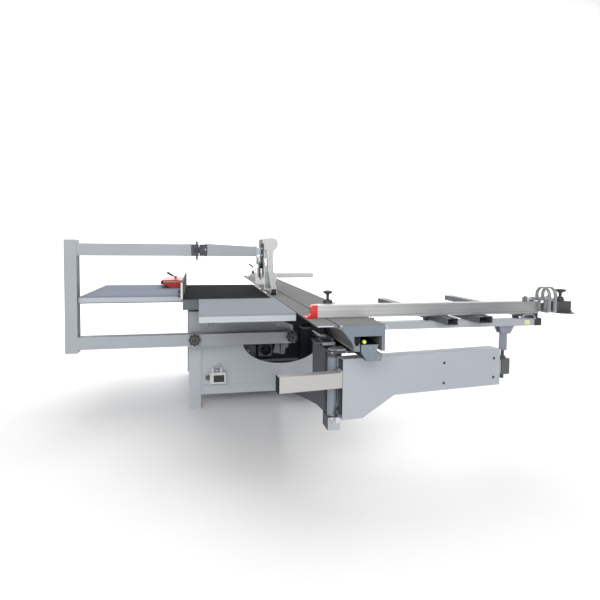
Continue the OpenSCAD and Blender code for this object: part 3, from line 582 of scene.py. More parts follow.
# thin plate painting shade on the right side face of the guard post
box("post_side_painted_shade", POST_SIDE_PAINTED_SHADE, "machine_base", -800.4, -799.6, 3003.5, 3076.5, ZT - 270, ZT + 281, 0.1)
box("lower_beam_plug", "dark_plastic", "machine_base", 700.5, 704.8, 3005.2, 3062.8, ZT - 352, ZT - 278.5, 0.8)

# black knuckle and painted arm stand for the swinging guard arm
bm = bmesh.new()
add_box(bm, 9, 62, 3006, 3066, ZT + 282, ZT + 365)
add_box(bm, 14, 40, 3002.5, 3006.5, ZT + 292, ZT + 356)
add_box(bm, 60, 64, 3008, 3064, ZT + 285, ZT + 362)
add_box(bm, 4, 12, 3008, 3027, ZT + 300, ZT + 347)
k1 = finish_mesh("guard_knuckle", bm, "black_paint", "guard_arm", 2.0)
k2 = ring_piece("guard_knuckle_eye", "black_paint", "guard_arm", [(7.05, 300), (14, 300), (14, 347), (7.05, 347)], (-8, 3014, ZT), (0, 0, 1), 40, 0.8)
arm_poly = [(63, ZT + 282), (415, ZT + 282), (415, ZT + 352.5), (82, ZT + 369.4), (63, ZT + 370)]
k3 = swept("guard_arm_tube", "machine_paint", "guard_arm", arm_poly, 3006, 3064, "xz", 4.0)
bm = bmesh.new()
add_box(bm, 414, 420, 3007, 3062, ZT + 277, ZT + 358)
add_box(bm, 419, 446, 3016, 3052, ZT + 290, ZT + 346)
k4 = finish_mesh("guard_arm_flange", bm, LIGHT_GREY_AND_HIGHLIGHT, "guard_arm", 1.0)
k5 = box("guard_arm_slide_bar", "black_paint", "guard_arm", 446, 466, 3012, 3058, ZT + 230, ZT + 375, 1.5)
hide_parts("guard_arm")
for k in (k1, k2, k4, k5):
    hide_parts("guard_arm")
screws("guard_knuckle_bolts", ZINC, "guard_arm", [(52, 3006, ZT + 328)], (0, -1, 0), 4.5, 4.5)
screws("guard_knuckle_dark", "dark_plastic", "guard_arm", [(26, 3002.5, ZT + 303), (26, 3002.5, ZT + 345)], (0, -1, 0), 4.5, 4)
screws("guard_knuckle_top", LIGHT_GREY_AND_HIGHLIGHT, "guard_arm", [(54, 3036, ZT + 365)], (0, 0, 1), 6, 6)
screws("guard_knuckle_low", LIGHT_GREY_AND_HIGHLIGHT, "guard_arm", [(54, 3036, ZT + 282)], (0, 0, -1), 6, 6)
screws("guard_flange_bolts", ZINC, "guard_arm", [(456, 3012.5, ZT + 290), (456, 3012.5, ZT + 340)], (0, -1, 0), 4, 3)
screws("guard_flange_top", LIGHT_GREY_AND_HIGHLIGHT, "guard_arm", [(400, 3036, ZT + 352)], (0, 0, 1), 6, 9)

# --- guard hood, its column and shield fittings
bm = bmesh.new()
tube_along(bm, [(480, 2987, ZT + 332), (500, 2987, ZT + 331), (530, 2987, ZT + 331), (544, 2987, ZT + 332)], 1.8, 8)
finish_mesh("hood_seam", bm, LIGHT_GREY_AND_HIGHLIGHT, "guard_hood")
box("hood_side_band", BLOCK_GREY, "guard_hood", 466.6, 468.4, 3060, 3250, ZT + 340, ZT + 404, 0.6)
screws("hood_screws", ZINC, "guard_hood", [(478, 2988, ZT + 346), (478, 2988, ZT + 398), (550, 2988, ZT + 352)], (0, -1, 0), 3, 2.0, False)
bm = bmesh.new()
tube_along(bm, [(494, 2986, ZT + 330), (500, 2986, ZT + 250), (503, 2986, ZT + 190), (508, 2986, ZT + 150), (528, 2986, ZT + 60)], 2.2, 8)
finish_mesh("column_rib_left", bm, WHITE_TRIM, "guard_hood")
bm = bmesh.new()
tube_along(bm, [(530, 2986, ZT + 330), (526, 2986, ZT + 250), (524, 2986, ZT + 190), (528, 2986, ZT + 150), (552, 2986, ZT + 60)], 2.2, 8)
finish_mesh("column_rib_right", bm, WHITE_TRIM, "guard_hood")
lobe = [(560 + 26 * math.cos(a), ZT + 88 + 42 * math.sin(a)) for a in [2 * math.pi * i / 28 for i in range(28)]]
swept("shield_rear_lobe", WHITE_TRIM, "guard_hood", [(x - 10, z + 34) for x, z in lobe], 3060, 3068, "xz", 1.5)
box("shield_red_strip_a", SHIELD_RED, "guard_hood", 475.4, 477.9, 3350, 3440, ZT + 205, ZT + 266, 0.4)
swept("shield_red_strip_b", SHIELD_RED, "guard_hood", [(3180, ZT + 108), (3300, ZT + 190), (3400, ZT + 180), (3380, ZT + 110), (3250, ZT + 92)], 475.6, 477.9, "yz", 0.4)
swept("shield_dark_strip", "dark_plastic", "guard_hood", [(3070, ZT + 160), (3110, ZT + 262), (3200, ZT + 262), (3150, ZT + 150), (3110, ZT + 120)], 475.2, 477.9, "yz", 0.4)
swept("shield_pink_plate", surface("m_faded_red", (0.24, 0.06, 0.085), (0.4, 0.5), vary=0.08, fine=600, bumpy=0.1), "guard_hood", [(3060, ZT + 268), (3060, ZT + 322), (3110, ZT + 322), (3110, ZT + 268)], 474.5, 477.9, "yz", 0.4)
box("shield_front_frame", WHITE_TRIM, "guard_hood", 478, 546, 3036.5, 3039.8, ZT + 205, ZT + 216, 0.6)
box("shield_low_frame", WHITE_TRIM, "guard_hood", 478, 546, 3036.5, 3039.8, ZT + 36, ZT + 44, 0.6)
box("shield_front_post", WHITE_TRIM, "guard_hood", 477.8, 484, 3036.5, 3039.8, ZT + 44, ZT + 205, 0.6)
bm = bmesh.new()
edge = [(3040, ZT + 43), (3040, ZT + 215), (3085, ZT + 270), (3480, ZT + 270), (3560, ZT + 200), (3560, ZT + 62), (3530, ZT + 35.5), (3060, ZT + 35.5)]
tube_along(bm, [(479.5, y, z) for y, z in edge], 2.4, 8, True)
finish_mesh("shield_edge_left", bm, LIGHT_GREY_AND_HIGHLIGHT, "guard_hood")
bm = bmesh.new()
tube_along(bm, [(544.5, y, z) for y, z in edge], 2.4, 8, True)
finish_mesh("shield_edge_right", bm, LIGHT_GREY_AND_HIGHLIGHT, "guard_hood")
lobed("guard_star", TEAL, "guard_lever", (464, 3125, ZT + 214), (-1, 0, 0), 30, 15, 7, 0.24)
turned("guard_star_boss", ZINC, "guard_lever", [(0, 0), (8, 0), (8, 4), (5, 6), (0, 6)], (451, 3125, ZT + 214), (-1, 0, 0), 24)
turned("roller_tyre_face", "black_rubber", "guard_roller", [(0, 0), (6, 0), (19.6, 0.3), (20.3, 1.0), (20.3, 1.2), (0, 1.2)], (524.4, 3004, ZT + 22), (-1, 0, 0), 32)
screws("roller_axle_nuts", ZINC, "guard_hood", [(566, 3004, ZT + 22)], (1, 0, 0), 5, 4)
screws("roller_axle_nut_left", ZINC, "guard_hood", [(516, 3004, ZT + 22)], (-1, 0, 0), 5, 4)

# --- readout box on the front panel
box("readout_display", DISPLAY, "machine_base", 114, 193, 3114.2, 3115.9, 199, 251, 0.3)
bm = bmesh.new()
for x0, x1, z0, z1 in ((111, 196, 252, 256), (111, 196, 194, 198), (109, 113, 194, 256), (194, 198, 194, 256)):
    add_box(bm, x0, x1, 3110.5, 3112.2, z0, z1)
finish_mesh("readout_bezel", bm, WHITE_TRIM, "machine_base", 0.4)
for i, x in enumerate((108, 140, 172)):
    bm = bmesh.new()
    lathe(bm, [(0, 0), (12.6, 0), (12.6, 8), (11, 9.5), (0, 9.5)], (x, 3130, 271.5), (0, 0, 1), 6)
    lathe(bm, [(0, 19), (9.4, 19), (9.4, 27), (8, 30), (0, 30)], (x, 3130, 271.5), (0, 0, 1), 12)
    finish_mesh("gland_%d" % i, bm, LIGHT_GREY_AND_HIGHLIGHT if i != 1 else BLOCK_GREY, "machine_base", 0.0, 30)
ring_piece("readout_knob_band", BLOCK_GREY, "machine_base", [(15.52, 0), (17.0, 0), (17.0, 19.5), (15.52, 19.5)], (86.4, 3129, 230), (-1, 0, 0), 32, 0.4)
lobed("readout_side_knob", BLOCK_GREY, "machine_base", (66, 3129, 230), (-1, 0, 0), 15.5, 9, 10, 0.08)
bm = bmesh.new()
tube_along(bm, [(140, 3130, 300), (141, 3131, 316), (147, 3134, 331), (157, 3136, 336), (167, 3135, 329), (171, 3131, 314), (172, 3130, 300)], 1.7, 8)
finish_mesh("readout_lead", bm, "machine_paint", "machine_base")
screws("readout_screws", ZINC, "machine_base", [(94, 3112, 192.5), (200, 3112, 192.5), (94, 3112, 264.5), (200, 3112, 264.5)], (0, -1, 0), 3, 2, False)

# --- table rims and edges
bm = bmesh.new()
add_box(bm, -99.9, 3.6, 2826.2, 2827.1, ZT - 71.8, ZT - 3)
finish_mesh("table_near_rim", bm, RIM_PAINT, "machine_base", 0.3)
# painted highlights on the near edge faces of the side and outfeed tables
box("side_edge_painted_highlight", EDGE_PAINTED_HIGHLIGHT, "machine_base", -798, -101, 3024.3, 3025.1, ZT - 38, ZT - 5.5, 0.2)
box("outfeed_edge_painted_highlight", EDGE_PAINTED_HIGHLIGHT, "machine_base", 4.4, 521.6, 2199.3, 2200.1, ZT - EDGE + 0.6, ZT - 13.6, 0.2)

bm = bmesh.new()
prism(bm, [(739, ZT - 93), (825, ZT - 93), (815, ZT - 127.6), (843, ZT - 138.6), (839, ZT - 169), (766.6, ZT - 169), (739, ZT - 129.4)], 1809.9, 1810.95, "xz")
prism(bm, [(739, ZT - 93), (825, ZT - 93), (815, ZT - 127.6), (843, ZT - 138.6), (839, ZT - 169), (766.6, ZT - 169), (739, ZT - 129.4)], 4999.05, 5000.1, "xz")
finish_mesh("beam_end_plates", bm, "blue_paint", "machine_base", 0.3)
box("pivot_foot_face", "machine_paint", "machine_base", 648.6, 711.4, 2008.2, 2009.1, 283.6, 349.6, 0.2)
for nm, x in (("left", -24), ("right", 680)):
    turned("clamp_pin_" + nm, ZINC, "frame_knob_" + nm, [(0, 0), (6.5, 0), (5.5, 1.6), (0, 2.0)], (x, 2960.8, ZT - 309), (0, -1, 0), 20)
    turned("clamp_face_" + nm, BLOCK_GREY, "frame_knob_" + nm, [(0, 0), (24, 0), (24, 1.2), (14, 1.6), (0, 1.6)], (x, 2962.2, ZT - 309), (0, -1, 0), 40)
    turned("clamp_cap_" + nm, "dark_plastic", "frame_knob_" + nm, [(0, 0), (8, 0), (7, 2.5), (0, 3)], (x, 2957, ZT - 309), (0, -1, 0), 28)

# --- cabinet: crease, screws, door latch
box("panel_crease", "machine_paint", "machine_base", 24, 983, 3144.6, 3146.2, 168, 171, 0.5)
screws("panel_screws", ZINC, "machine_base", [(40, 3146, 690), (40, 3146, 130), (960, 3146, 130), (960, 3146, 690), (330, 3146, 690)], (0, -1, 0), 4, 2.5, False)
box("door_latch", "dark_plastic", "side_door", -86, -78.5, 3262, 3290, 470, 540, 1.5)
turned("door_latch_turn", ZINC, "side_door", [(0, 0), (9, 0), (9, 3), (6, 5), (0, 5)], (-85.5, 3276, 505), (-1, 0, 0), 24)
box("door_fold", "machine_paint", "side_door", -80.2, -78.6, 3250, 3930, 272, 276, 0.5)
box("control_face", "dark_plastic", "machine_base", 408, 532, 4060, 4061.6, 608, 672, 0.6)
ring_piece("start_collar", ZINC, "machine_base", [(12.2, 0), (16, 0), (15, 3), (12.2, 3)], (440, 4061.4, 640), (0, 1, 0), 32)
screws("control_screws", ZINC, "machine_base", [(403.5, 4060, 604), (536.5, 4060, 604), (403.5, 4060, 676), (536.5, 4060, 676)], (0, 1, 0), 2.2, 1.8, False)

# --- slide beam ends, bumpers, pole hardware
for nm, y, d in (("near", 1815, -1), ("far", 4995, 1)):
    turned("beam_bumper_" + nm, YELLOW, "machine_base", [(0, 0), (4, 0), (4, 3), (8.5, 3.6), (9.5, 6), (9.5, 12), (8, 15), (0, 15.5)], (757, y - d * 14, 778.5), (0, d, 0), 28)
screws("beam_cap_screws", ZINC, "machine_base", [(782, 1811, 752), (812, 1811, 752), (790, 1811, 706), (826, 1811, 706)], (0, -1, 0), 3.2, 2.4, False)
ring_piece("pole_collar", ZINC, "machine_base", [(20.1, 0), (27, 0), (27, 5), (20.1, 5)], (680, 2045, 350.2), (0, 0, 1), 40, 0.6)
turned("pole_top_cap", "machine_paint", "machine_base", [(0, 0), (26, 0), (24, 6), (12, 8), (0, 8)], (680, 2045, 690), (0, 0, 1), 32)
bm = bmesh.new()
tube_along(bm, [(684, 2013, 359), (684, 2008, 372), (687, 2006, 392), (693, 2008, 402), (700, 2012, 398), (702, 2013, 386)], 4.5, 10)
finish_mesh("pole_hook", bm, "black_paint", "swing_arm")
bm = bmesh.new()
ringpts = [(676 + 13 * math.cos(a), 2006.5, 331 + 14.5 * math.sin(a)) for a in [2 * math.pi * i / 24 for i in range(24)]]
tube_along(bm, ringpts, 3.0, 10, True)
finish_mesh("pole_lock_ring", bm, ZINC, "machine_base")
box("pole_lock_plate", LIGHT_GREY_AND_HIGHLIGHT, "machine_base", 690, 710, 2005.5, 2009.5, 318, 347, 0.8)
screws("bracket_bolts", "dark_plastic", "machine_base", [(664, 2091, 640), (690, 2091, 640), (664, 2091, 420), (690, 2091, 420)], (0, -1, 0), 5, 5)
screws("bracket_plate_bolts", ZINC, "machine_base", [(665, 2005, 684), (740, 2005, 684), (790, 2005, 684)], (0, -1, 0), 3.5, 3)
# hanger steps under the carriage; the dark steps and web are painted shade
box("hanger_step_top", PAINTED_SHADE_DUSTY, "machine_base", 590, 684, 2330, 2420, 744, 752, 1.0)
box("hanger_step_mid", LIGHT_GREY_AND_HIGHLIGHT, "machine_base", 652, 712, 2180, 2300, 728, 740, 1.0)
box("hanger_step_low", PAINTED_SHADE_DUSTY, "machine_base", 604, 705, 2080, 2178, 712, 720, 1.0)
box("hanger_step_lip", "machine_paint", "machine_base", 636, 705, 2078, 2081, 704, 720, 0.6)
box("hanger_step_web", PAINTED_SHADE_DUSTY, "machine_base", 686, 696, 2080, 2420, 690, 742, 1.0)
# black sheet beside the hanger standing in for the shade there: painted shade
swept("hanger_web_painted_shade", BLACK_PLASTIC_AND_PAINTED_SHADE, "machine_base", [(2078, 766), (2078, 812), (3138, 812), (3138, 640), (2685, 690)], 640, 644, "yz", 0.6)
# thin sheets along the carriage skirt's underside: painted shade, dark grey near the end and black further back
under = [(530, ZT - 6.4), (595, ZT - 6.5), (622, ZT - 12.6), (642.4, ZT - 23.8), (657.2, ZT - 38.8), (671.2, ZT - 57.8), (685.2, ZT - 73.8), (696.2, ZT - 90.5), (702.2, ZT - 113.6)]
skirt_shade_outline = under + [(x - 0.7, z - 0.7) for x, z in reversed(under)]
swept("skirt_underside_painted_shade", BLACK_PLASTIC_AND_PAINTED_SHADE, "carriage", skirt_shade_outline, 2230, 4996, "xz", 0.0)
swept("skirt_near_painted_shade", SKIRT_PAINTED_SHADE, "carriage", skirt_shade_outline, 1813, 2229, "xz", 0.0)
box("hanger_flange", "machine_paint", "machine_base", 690, 740, 2008, 2078, 690.4, 700, 1.0)
bm = bmesh.new()
for yy in (2110, 2150, 2230, 2270):
    lathe(bm, [(0, 0), (7, 0), (7, 5), (0, 5)], (640, yy, 720 if yy < 2178 else 740), (0, 0, 1), 6)
finish_mesh("hanger_bolts", bm, ZINC, "machine_base", 0.0, 30)

# --- sliding carriage
for nm, a, b in (("near", 1805.5, 1812), ("far", 4998, 5004.5)):
    box("leg_plug_" + nm, BLACK_PLASTIC_AND_PAINTED_SHADE, "carriage", 705, 732, a, b, 775, 806, 1.2)
    box("leg_foot_" + nm, "blue_paint", "carriage", 706, 731, a, b, 738, 764, 1.2)
# painted highlights along the carriage's near top edge
box("carriage_edge_glint", LIGHT_GREY_AND_HIGHLIGHT, "carriage", 530, 604, 1808.0, 1808.9, ZT - 5.6, ZT - 0.6, 0.1)
box("carriage_edge_glint_b", LIGHT_GREY_AND_HIGHLIGHT, "carriage", 637, 646, 1808.0, 1808.9, ZT - 7.5, ZT - 0.6, 0.1)
box("carriage_right_foot", BLACK_PLASTIC_AND_PAINTED_SHADE, "carriage", 839, 853.5, 1805.05, 1808, 740, 762, 0.4)
bm = bmesh.new()
tube_along(bm, [(850, 1812, 845), (856, 1811, 852), (863, 1811, 852), (867, 1811, 846), (866, 1811, 838), (861, 1811, 834)], 2.6, 8)
finish_mesh("carriage_corner_hook", bm, LIGHT_GREY_AND_HIGHLIGHT, "carriage")
screws("cap_screws", ZINC, "carriage", [(700, 1805.4, 842), (832, 1805.4, 842), (846, 1805.4, 746)], (0, -1, 0), 2.6, 0.4, False)
bm = bmesh.new()
for y in (2045, 2575):
    lathe(bm, [(0, 0), (6, 0), (6, 4), (5, 5), (0, 5)], (861, y - 7, 845 - 14), (1, 0, 0), 6)
    lathe(bm, [(0, 0), (6, 0), (6, 4), (5, 5), (0, 5)], (861, y - 7, 770), (1, 0, 0), 6)
finish_mesh("rail_plate_bolts", bm, ZINC, "carriage", 0.0, 30)
turned("rail_clamp_knob", "dark_plastic", "carriage", [(0, 0), (7, 0), (7, 6), (15, 8), (16, 12), (14, 18), (0, 19)], (905, 2085, 824), (0, 0, 1), 28)
for y in (2045, 2575):
    box("rail_cap_%d" % y, "dark_plastic", "carriage", 1862, 1908, y - 0.8, y + 50.8, 783.2, 824.8, 1.5)
box("rail_bare_patch", LABEL, "carriage", 1800, 1834, 2044.2, 2045.2, 792, 816, 0.2)
bm = bmesh.new()
tube_along(bm, [(1790, 2052, 828), (1786, 2043, 838), (1796, 2040, 848), (1820, 2039, 851), (1846, 2040, 847), (1858, 2041, 836), (1862, 2041, 822)], 4.0, 10)
finish_mesh("rail_hook_bracket", bm, ZINC, "carriage")
lobed("rail_lock_knob", "dark_plastic", "carriage", (1768, 2078, 824), (0, 0, 1), 17, 20, 6, 0.15)
lobed("rail_lock_knob_b", "dark_plastic", "carriage", (1216, 2078, 824), (0, 0, 1), 15, 20, 6, 0.15)
bm = bmesh.new()
for x0, x1, ys, ye in ((1240, 1300, 1915, 2750), (1440, 1520, 1945, 2330), (1825, 1885, 1990, 2866)):
    add_box(bm, x0 + 3.2, x1 - 3.2, ye - 8, ye - 2, ZT - 32.8, ZT - 3.2)
add_box(bm, 1828.2, 1881.8, 2049, 2055, ZT - 32.8, ZT - 3.2)
finish_mesh("bar_plugs", bm, "dark_plastic", "carriage", 0.6)

# --- crosscut fence
FZ, FT = ZT + 0.5, ZT + 65.0
box("fence_bright_line", "bright_alu", "cross_fence", 586, 1848, 2002.4, 2003.4, FZ + 1.5, FZ + 4.5, 0.2)
box("fence_scale_strip", "bright_alu", "cross_fence", 590, 1845, 2012, 2026, FT - 0.2, FT + 0.25, 0.05)
bm = bmesh.new()
for i in range(126):
    x = 590 + i * 10
    ln = 9 if i % 10 == 0 else (6.5 if i % 5 == 0 else 4)
    add_box(bm, x - 0.35, x + 0.35, 2012.2, 2012.2 + ln, FT + 0.2, FT + 0.32)
finish_mesh("fence_scale_marks", bm, "dark_plastic", "cross_fence")
bm = bmesh.new()
for x in (720, 780):
    lathe(bm, [(0, 0), (7.5, 0), (7.5, 4), (6, 6), (3, 6), (3, 2.5), (0, 2.5)], (x, 2105, FZ + 7), (0, 0, 1), 24)
for x in (700, 760):
    lathe(bm, [(0, 0), (5.5, 0), (5.5, 4), (4.5, 5), (0, 5)], (x, 2061, FZ + 26), (0, 1, 0), 6)
finish_mesh("fence_foot_bolts", bm, ZINC, "cross_fence", 0.0, 30)
lobed("fence_knob_top", "dark_plastic", "fence_knob", (668, 2105, FZ + 113), (0, 0, 1), 24, 14, 6, 0.14, 0.2)
turned("fence_knob_collar", "dark_plastic", "fence_knob", [(0, 0), (22, 0), (25.5, 3), (25.5, 38), (22, 43), (12, 46), (0, 46)], (668, 2105, FZ + 36), (0, 0, 1), 32)
lobed("extension_knob_top", "dark_plastic", "extension_knob", (2004, 2025, FT + 51), (0, 0, 1), 28, 15, 6, 0.14, 0.2)
turned("extension_knob_base", "dark_plastic", "extension_knob", [(0, 0), (19, 0), (19, 14), (15, 22), (0, 22)], (2004, 2025, FT + 1.0), (0, 0, 1), 32)
screws("stop_rod_bolts", BLOCK_GREY, "stop_carriage", [(1800, 2044, FT + 24), (1937, 2044, FT + 24), (1861, 2044, FT + 8)], (0, 0, 1), 4, 4)
screws("stop_rod_end_bolts", ZINC, "stop_carriage", [(1782, 2018, FT + 14.5)], (-1, 0, 0), 6, 6)
swept("stop_rod_ear", "anodised_alu", "stop_carriage", [(1774, FT + 2), (1782, FT + 2), (1782, FT + 26), (1777, FT + 30), (1770, FT + 20)], 2012, 2030, "xz", 1.5)

# --- swing arm, telescopic tube, support post
A = math.radians(5.5)
CA, SA = math.cos(A), math.sin(A)


def arm_pt(x, y, z):
    return (680 + x * CA - y * SA, 2045 + x * SA + y * CA, z)


ARMN = (SA, -CA, 0)
screws("arm_bolts", "dark_plastic", "swing_arm", [arm_pt(609.5, -86.6, 602), arm_pt(609, -86.6, 493), arm_pt(933, -86.6, 606), arm_pt(932, -86.6, 500)], ARMN, 6, 4)
turned("arm_lock_knob", "black_paint", "swing_arm", [(0, 0), (5, 0), (5, 5), (12, 6), (12, 14), (9, 17), (0, 17)], arm_pt(36, -4, 652), (0, 0, 1), 24)


def arm_box(name, mat, body, x0, x1, y0, y1, z0, z1, bevel=1.0):
    bm = bmesh.new()
    vs = [bm.verts.new(W(*arm_pt(x, y, z))) for x in (x0, x1) for y in (y0, y1) for z in (z0, z1)]
    for f in ((0, 1, 3, 2), (4, 6, 7, 5), (0, 4, 5, 1), (2, 3, 7, 6), (0, 2, 6, 4), (1, 5, 7, 3)):
        bm.faces.new([vs[i] for i in f])
    return finish_mesh(name, bm, mat, body, bevel)


# the arm's left end face is painted shade
arm_box("arm_end_face", BRACKET_PAINTED_SHADE, "swing_arm", 25.6, 27.2, -26, 12, 424, 598, 0.3)
# end channels of the swing arm: the dark ones are painted shade
arm_box("arm_end_channel_a", PAINTED_SHADE_DUSTY, "swing_arm", 24.8, 25.8, -19, -7, 426, 596, 0.3)
arm_box("arm_end_channel_b", "machine_paint", "swing_arm", 24.8, 25.8, -2, 3, 426, 596, 0.3)
arm_box("arm_end_channel_c", PAINTED_SHADE_DUSTY, "swing_arm", 24.8, 25.8, 6, 11, 426, 596, 0.3)
# painted shade on the inner face of the swing arm
arm_box("arm_inner_face", BRACKET_PAINTED_SHADE, "swing_arm", 20.2, 130, -26.7, -26.1, 357, 652, 0.1)
# sleeve and bands round the pivot pole, in painted shade
ring_piece("pole_sleeve", SLEEVE_PAINTED_SHADE, "swing_arm", [(20.15, 0), (24.6, 0), (24.6, 181.6), (20.15, 181.6)], (680, 2045, 420.2), (0, 0, 1), 48)
for i, (a, b) in enumerate(((356.6, 419.8), (602.2, 652.6))):
    ring_piece("pole_sleeve_band_%d" % i, SLEEVE_PAINTED_SHADE, "swing_arm", [(24.52, 0), (25.2, 0), (25.2, b - a), (24.52, b - a)], (680, 2045, a), (0, 0, 1), 48, 0.1)
# the arm's right end face is painted shade
arm_box("arm_right_return", PAINTED_SHADE_DUSTY, "swing_arm", 974.1, 975.4, -86.4, -22.2, 456, 649, 0.3)
arm_box("arm_tube_guide", LIGHT_GREY_AND_HIGHLIGHT, "swing_arm", 12, 30, -84.5, -26.5, 592.5, 597, 0.8)
t1 = arm_box("tube_body", "tube_paint", "inner_tube", -308, 991, -80, -30, 511, 591, 5.0)
t2 = arm_box("tube_plug", BLACK_PLASTIC_AND_PAINTED_SHADE, "inner_tube", -313, -307, -79.4, -30.6, 511.6, 590.4, 2.0)
t3 = arm_box("tube_end_block", BLOCK_GREY, "inner_tube", 990, 1047, -82, -28, 508, 596, 1.5)
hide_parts("inner_tube")
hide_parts("inner_tube")
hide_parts("inner_tube")
screws("tube_block_bolts", "dark_plastic", "inner_tube", [arm_pt(1047, -55, 575), arm_pt(1047, -55, 530)], (CA, SA, 0), 5, 4)
PX, PY = arm_pt(1020, -55, 0)[0], arm_pt(1020, -55, 0)[1]


def thread_ring(name, mat, body, x, y, z0, z1, r_in, r, pitch=3.0):
    loop = [(r_in, 0.0)]
    k = int((z1 - z0) / pitch)
    for i in range(k):
        loop += [(r * 0.93, i * pitch), (r, (i + 0.5) * pitch)]
    loop += [(r * 0.93, z1 - z0), (r_in, z1 - z0)]
    return ring_piece(name, mat, body, loop, (x, y, z0), (0, 0, 1), 28)


thread_ring("post_screw_top", "black_paint", "support_post", PX, PY, 608.5, 643, 7.55, 8.6)
thread_ring("post_screw_low", "black_paint", "support_post", PX, PY, 481, 507, 9.05, 10.0)
bm = bmesh.new()
lathe(bm, [(0, 0), (16.6, 0), (16.6, 10.5), (15, 12), (0, 12)], (PX, PY, 596.8), (0, 0, 1), 6)
finish_mesh("post_nut", bm, "black_paint", "support_post", 0.0, 30)
CC, SS = math.cos(math.radians(45)), math.sin(math.radians(45))
# one face of the support post keeps the plain machine paint, lighter than its painted shade faces
bm = bmesh.new()
vs = [(PX + x * CC - y * SS, PY + x * SS + y * CC) for x, y in ((-19.6, -20.25), (18, -20.25), (18, -19.9), (-19.6, -19.9))]
prism(bm, vs, 650, 738, "xy")
finish_mesh("post_light_face", bm, "machine_paint", "support_post", 0.05)
screws("post_head_screws", ZINC, "support_post", [(PX - 30, PY - 26, 768), (PX + 30, PY - 26, 768)], (0, -1, 0), 3, 2.5, False)

# --- rip fence
swept("rip_cap", surface("m_dark_red", (0.25, 0.012, 0.012), (0.3, 0.42), vary=0.06, fine=800, bumpy=0.1), "rip_carrier",
      [(-302.5, ZT + 34), (-300.2, ZT + 33), (-300.2, ZT + 58), (-286.5, ZT + 68.4), (-288, ZT + 69.6), (-302.5, ZT + 59)], 3559.5, 3928, "xz", 0.3)
swept("rip_cap_face", surface("m_dark_red_b", (0.22, 0.012, 0.012), (0.3, 0.42), vary=0.06, fine=800, bumpy=0.1), "rip_carrier",
      [(-301, ZT + 35), (-282, ZT + 33), (-282, ZT + 67), (-288, ZT + 68), (-301, ZT + 58)], 3558.6, 3560.2, "xz", 0.2)
box("rip_stripe", surface("m_rip_stripe", (0.55, 0.42, 0.36), (0.4, 0.5), vary=0.06, fine=700, bumpy=0.1), "rip_carrier", -280, -152, 3558.8, 3560.2, ZT + 50, ZT + 62, 0.3)
box("rip_side_plate", "bright_alu", "rip_carrier", -150.2, -148.4, 3570, 3900, ZT + 8, ZT + 50, 0.3)
screws("rip_screws", "dark_plastic", "rip_carrier", [(-165, 3560, ZT + 36)], (0, -1, 0), 4, 3, False)
bm = bmesh.new()
tube_along(bm, [(-170, 3575, ZT + 76), (-158, 3575, ZT + 78), (-153, 3575, ZT + 66), (-153, 3566, ZT + 40)], 3.2, 8)
finish_mesh("rip_hook", bm, ZINC, "rip_carrier")
lobed("rip_plate_knob", "dark_plastic", "rip_plate", (-116, 3005, 892), (-1, 0, 0), 15, 20, 6, 0.14)
lobed("rip_plate_knob_b", "dark_plastic", "rip_plate", (-116, 2850, 880), (-1, 0, 0), 11, 16, 6, 0.14)
bm = bmesh.new()
add_box(bm, -112.8, -100.2, 2829.2, 2830.4, ZT + 1.4, ZT + 109.6)
finish_mesh("rip_plate_end", bm, "bright_alu", "rip_plate", 0.3)
turned("rail_plug_left", "dark_plastic", "machine_base", [(0, 0), (24.5, 0), (24.5, 2), (20, 5), (0, 5)], (-815, 3965, ZT - 48), (-1, 0, 0), 32)
turned("rail_plug_right", "dark_plastic", "machine_base", [(0, 0), (24.5, 0), (24.5, 2), (20, 5), (0, 5)], (500, 3965, ZT - 48), (1, 0, 0), 32)

# --- far cross bar and shoe
box("cross_bar_dark_edge", "dark_plastic", "cross_bar", 636, 1288, 4618.6, 4620.2, ZT + 1.6, ZT + 6, 0.2)
box("cross_bar_plug", "dark_plastic", "cross_bar", 1289.5, 1291, 4622, 4654, ZT + 3, ZT + 51, 0.3)
box("cross_bar_scale", "bright_alu", "cross_bar", 640, 1286, 4622, 4634, ZT + 52.8, ZT + 53.2, 0.05)
turned("shoe_ball", "dark_plastic", "shoe_lever", [(0, -9.6), (4, -8.8), (7.6, -6), (9.6, -2), (9.6, 2), (7.6, 6), (4, 8.8), (0, 9.6)], (560, 4640, ZT + 148.4), (0, 0, 1), 28)

# --- handwheels: dial faces with plain graduations
for nm, x in (("height_handwheel", 250), ("tilt_handwheel", 620)):
    turned(nm + "_dial", DISPLAY, nm, [(0, 0), (17, 0), (17, 1.5), (15, 2.5), (0, 2.5)], (x, 4076, 520), (0, 1, 0), 40)
    bm = bmesh.new()
    for i in range(24):
        a = 2 * math.pi * i / 24
        lathe(bm, [(0, 0), (0.9, 0), (0.9, 0.6), (0, 0.6)], (x + 13 * math.cos(a), 4078.3, 520 + 13 * math.sin(a)), (0, 1, 0), 8)
    finish_mesh(nm + "_dots", bm, WHITE_TRIM, nm)
    turned(nm + "_grip_end", ZINC, nm, [(0, 0), (5, 0), (5, 2), (3, 3), (0, 3)], (x, 4030 + 100, 520 - 84), (0, 1, 0), 24)

# --- motor and saw unit
turned("motor_fan_cover", "dark_sheet", "lift_unit", [(0, -2), (30, -2), (78, 0), (80.6, 4), (80.6, 13), (0, 13)], (288, 3560, 410), (1, 0, 0), 48)
screws("motor_box_screws", ZINC, "lift_unit", [(330, 3686, 370), (390, 3686, 370), (330, 3686, 450), (390, 3686, 450)], (0, 1, 0), 3, 2, False)
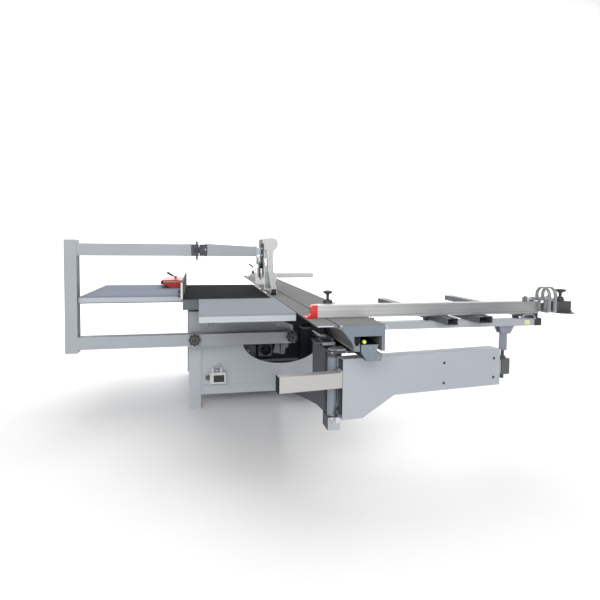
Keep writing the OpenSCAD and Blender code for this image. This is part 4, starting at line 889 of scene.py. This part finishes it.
# dust port lip, tilt lock knob and inner brackets in painted light and shade
ring_piece("dust_port_lip", INNER_PAINTED_LIGHT_AND_SHADE, "lift_unit", [(43.2, 0), (46.8, 0), (46.8, 3), (43.2, 3)], (514, 3158.2, 420), (0, 1, 0), 48, 0.4)
screws("hood_door_screws", BLOCK_GREY, "lift_unit", [(470, 3196, 368), (558, 3196, 368), (470, 3196, 472), (558, 3196, 472)], (0, -1, 0), 4, 1.0, False)
# chip plate inside the cabinet, coloured in painted shade
bm = bmesh.new()
add_box(bm, 300, 440, 3196, 3199, 330, 480)
finish_mesh("chip_plate", bm, INNER_PAINTED_SHADE, "tilt_unit", 0.6)
turned("tilt_lock_knob", INNER_PAINTED_LIGHT_AND_SHADE, "tilt_unit", [(0, 0), (10, 0), (10, 6), (16, 8), (15, 13), (8, 16), (0, 16)], (379, 3196, 408), (0, -1, 0), 28)
swept("inner_bracket_a", INNER_PAINTED_LIGHT_AND_SHADE, "tilt_unit", [(597, 466), (624, 466), (636, 375), (575, 384)], 3196, 3199, "xz", 0.5)
swept("inner_bracket_b", INNER_PAINTED_LIGHT_AND_SHADE, "tilt_unit", [(638, 470), (702, 470), (694, 424), (674, 416), (670, 372), (638, 372)], 3196.4, 3199, "xz", 0.5)
screws("inner_bracket_bolts", BLOCK_GREY, "tilt_unit", [(610, 3196, 452), (656, 3196.4, 452), (656, 3196.4, 392)], (0, -1, 0), 5, 4)
# dark sheets inside the cabinet standing in for its shaded interior: painted shade
box("cabinet_far_painted_shade", INNER_PAINTED_SHADE, "machine_base", 700, 984, 4030.4, 4031.4, 106, 640, 0.1)
box("cabinet_far_low_painted_shade", INNER_PAINTED_SHADE, "machine_base", 60, 699, 4030.4, 4031.4, 106, 420, 0.1)
box("cabinet_leg_painted_shade", INNER_PAINTED_SHADE, "machine_base", 985, 1066, 3949.4, 3950.4, 106, 640, 0.1)
box("cabinet_leg_side_painted_shade", INNER_PAINTED_SHADE, "machine_base", 983.6, 984.6, 3951, 4030, 106, 640, 0.1)
box("cabinet_right_painted_shade", INNER_PAINTED_SHADE, "machine_base", 1062.4, 1063.4, 3240, 3949, 106, 640, 0.1)
box("cabinet_floor_painted_shade", INNER_PAINTED_SHADE, "machine_base", 24, 982, 3160, 3948, 104.3, 105.3, 0.1)
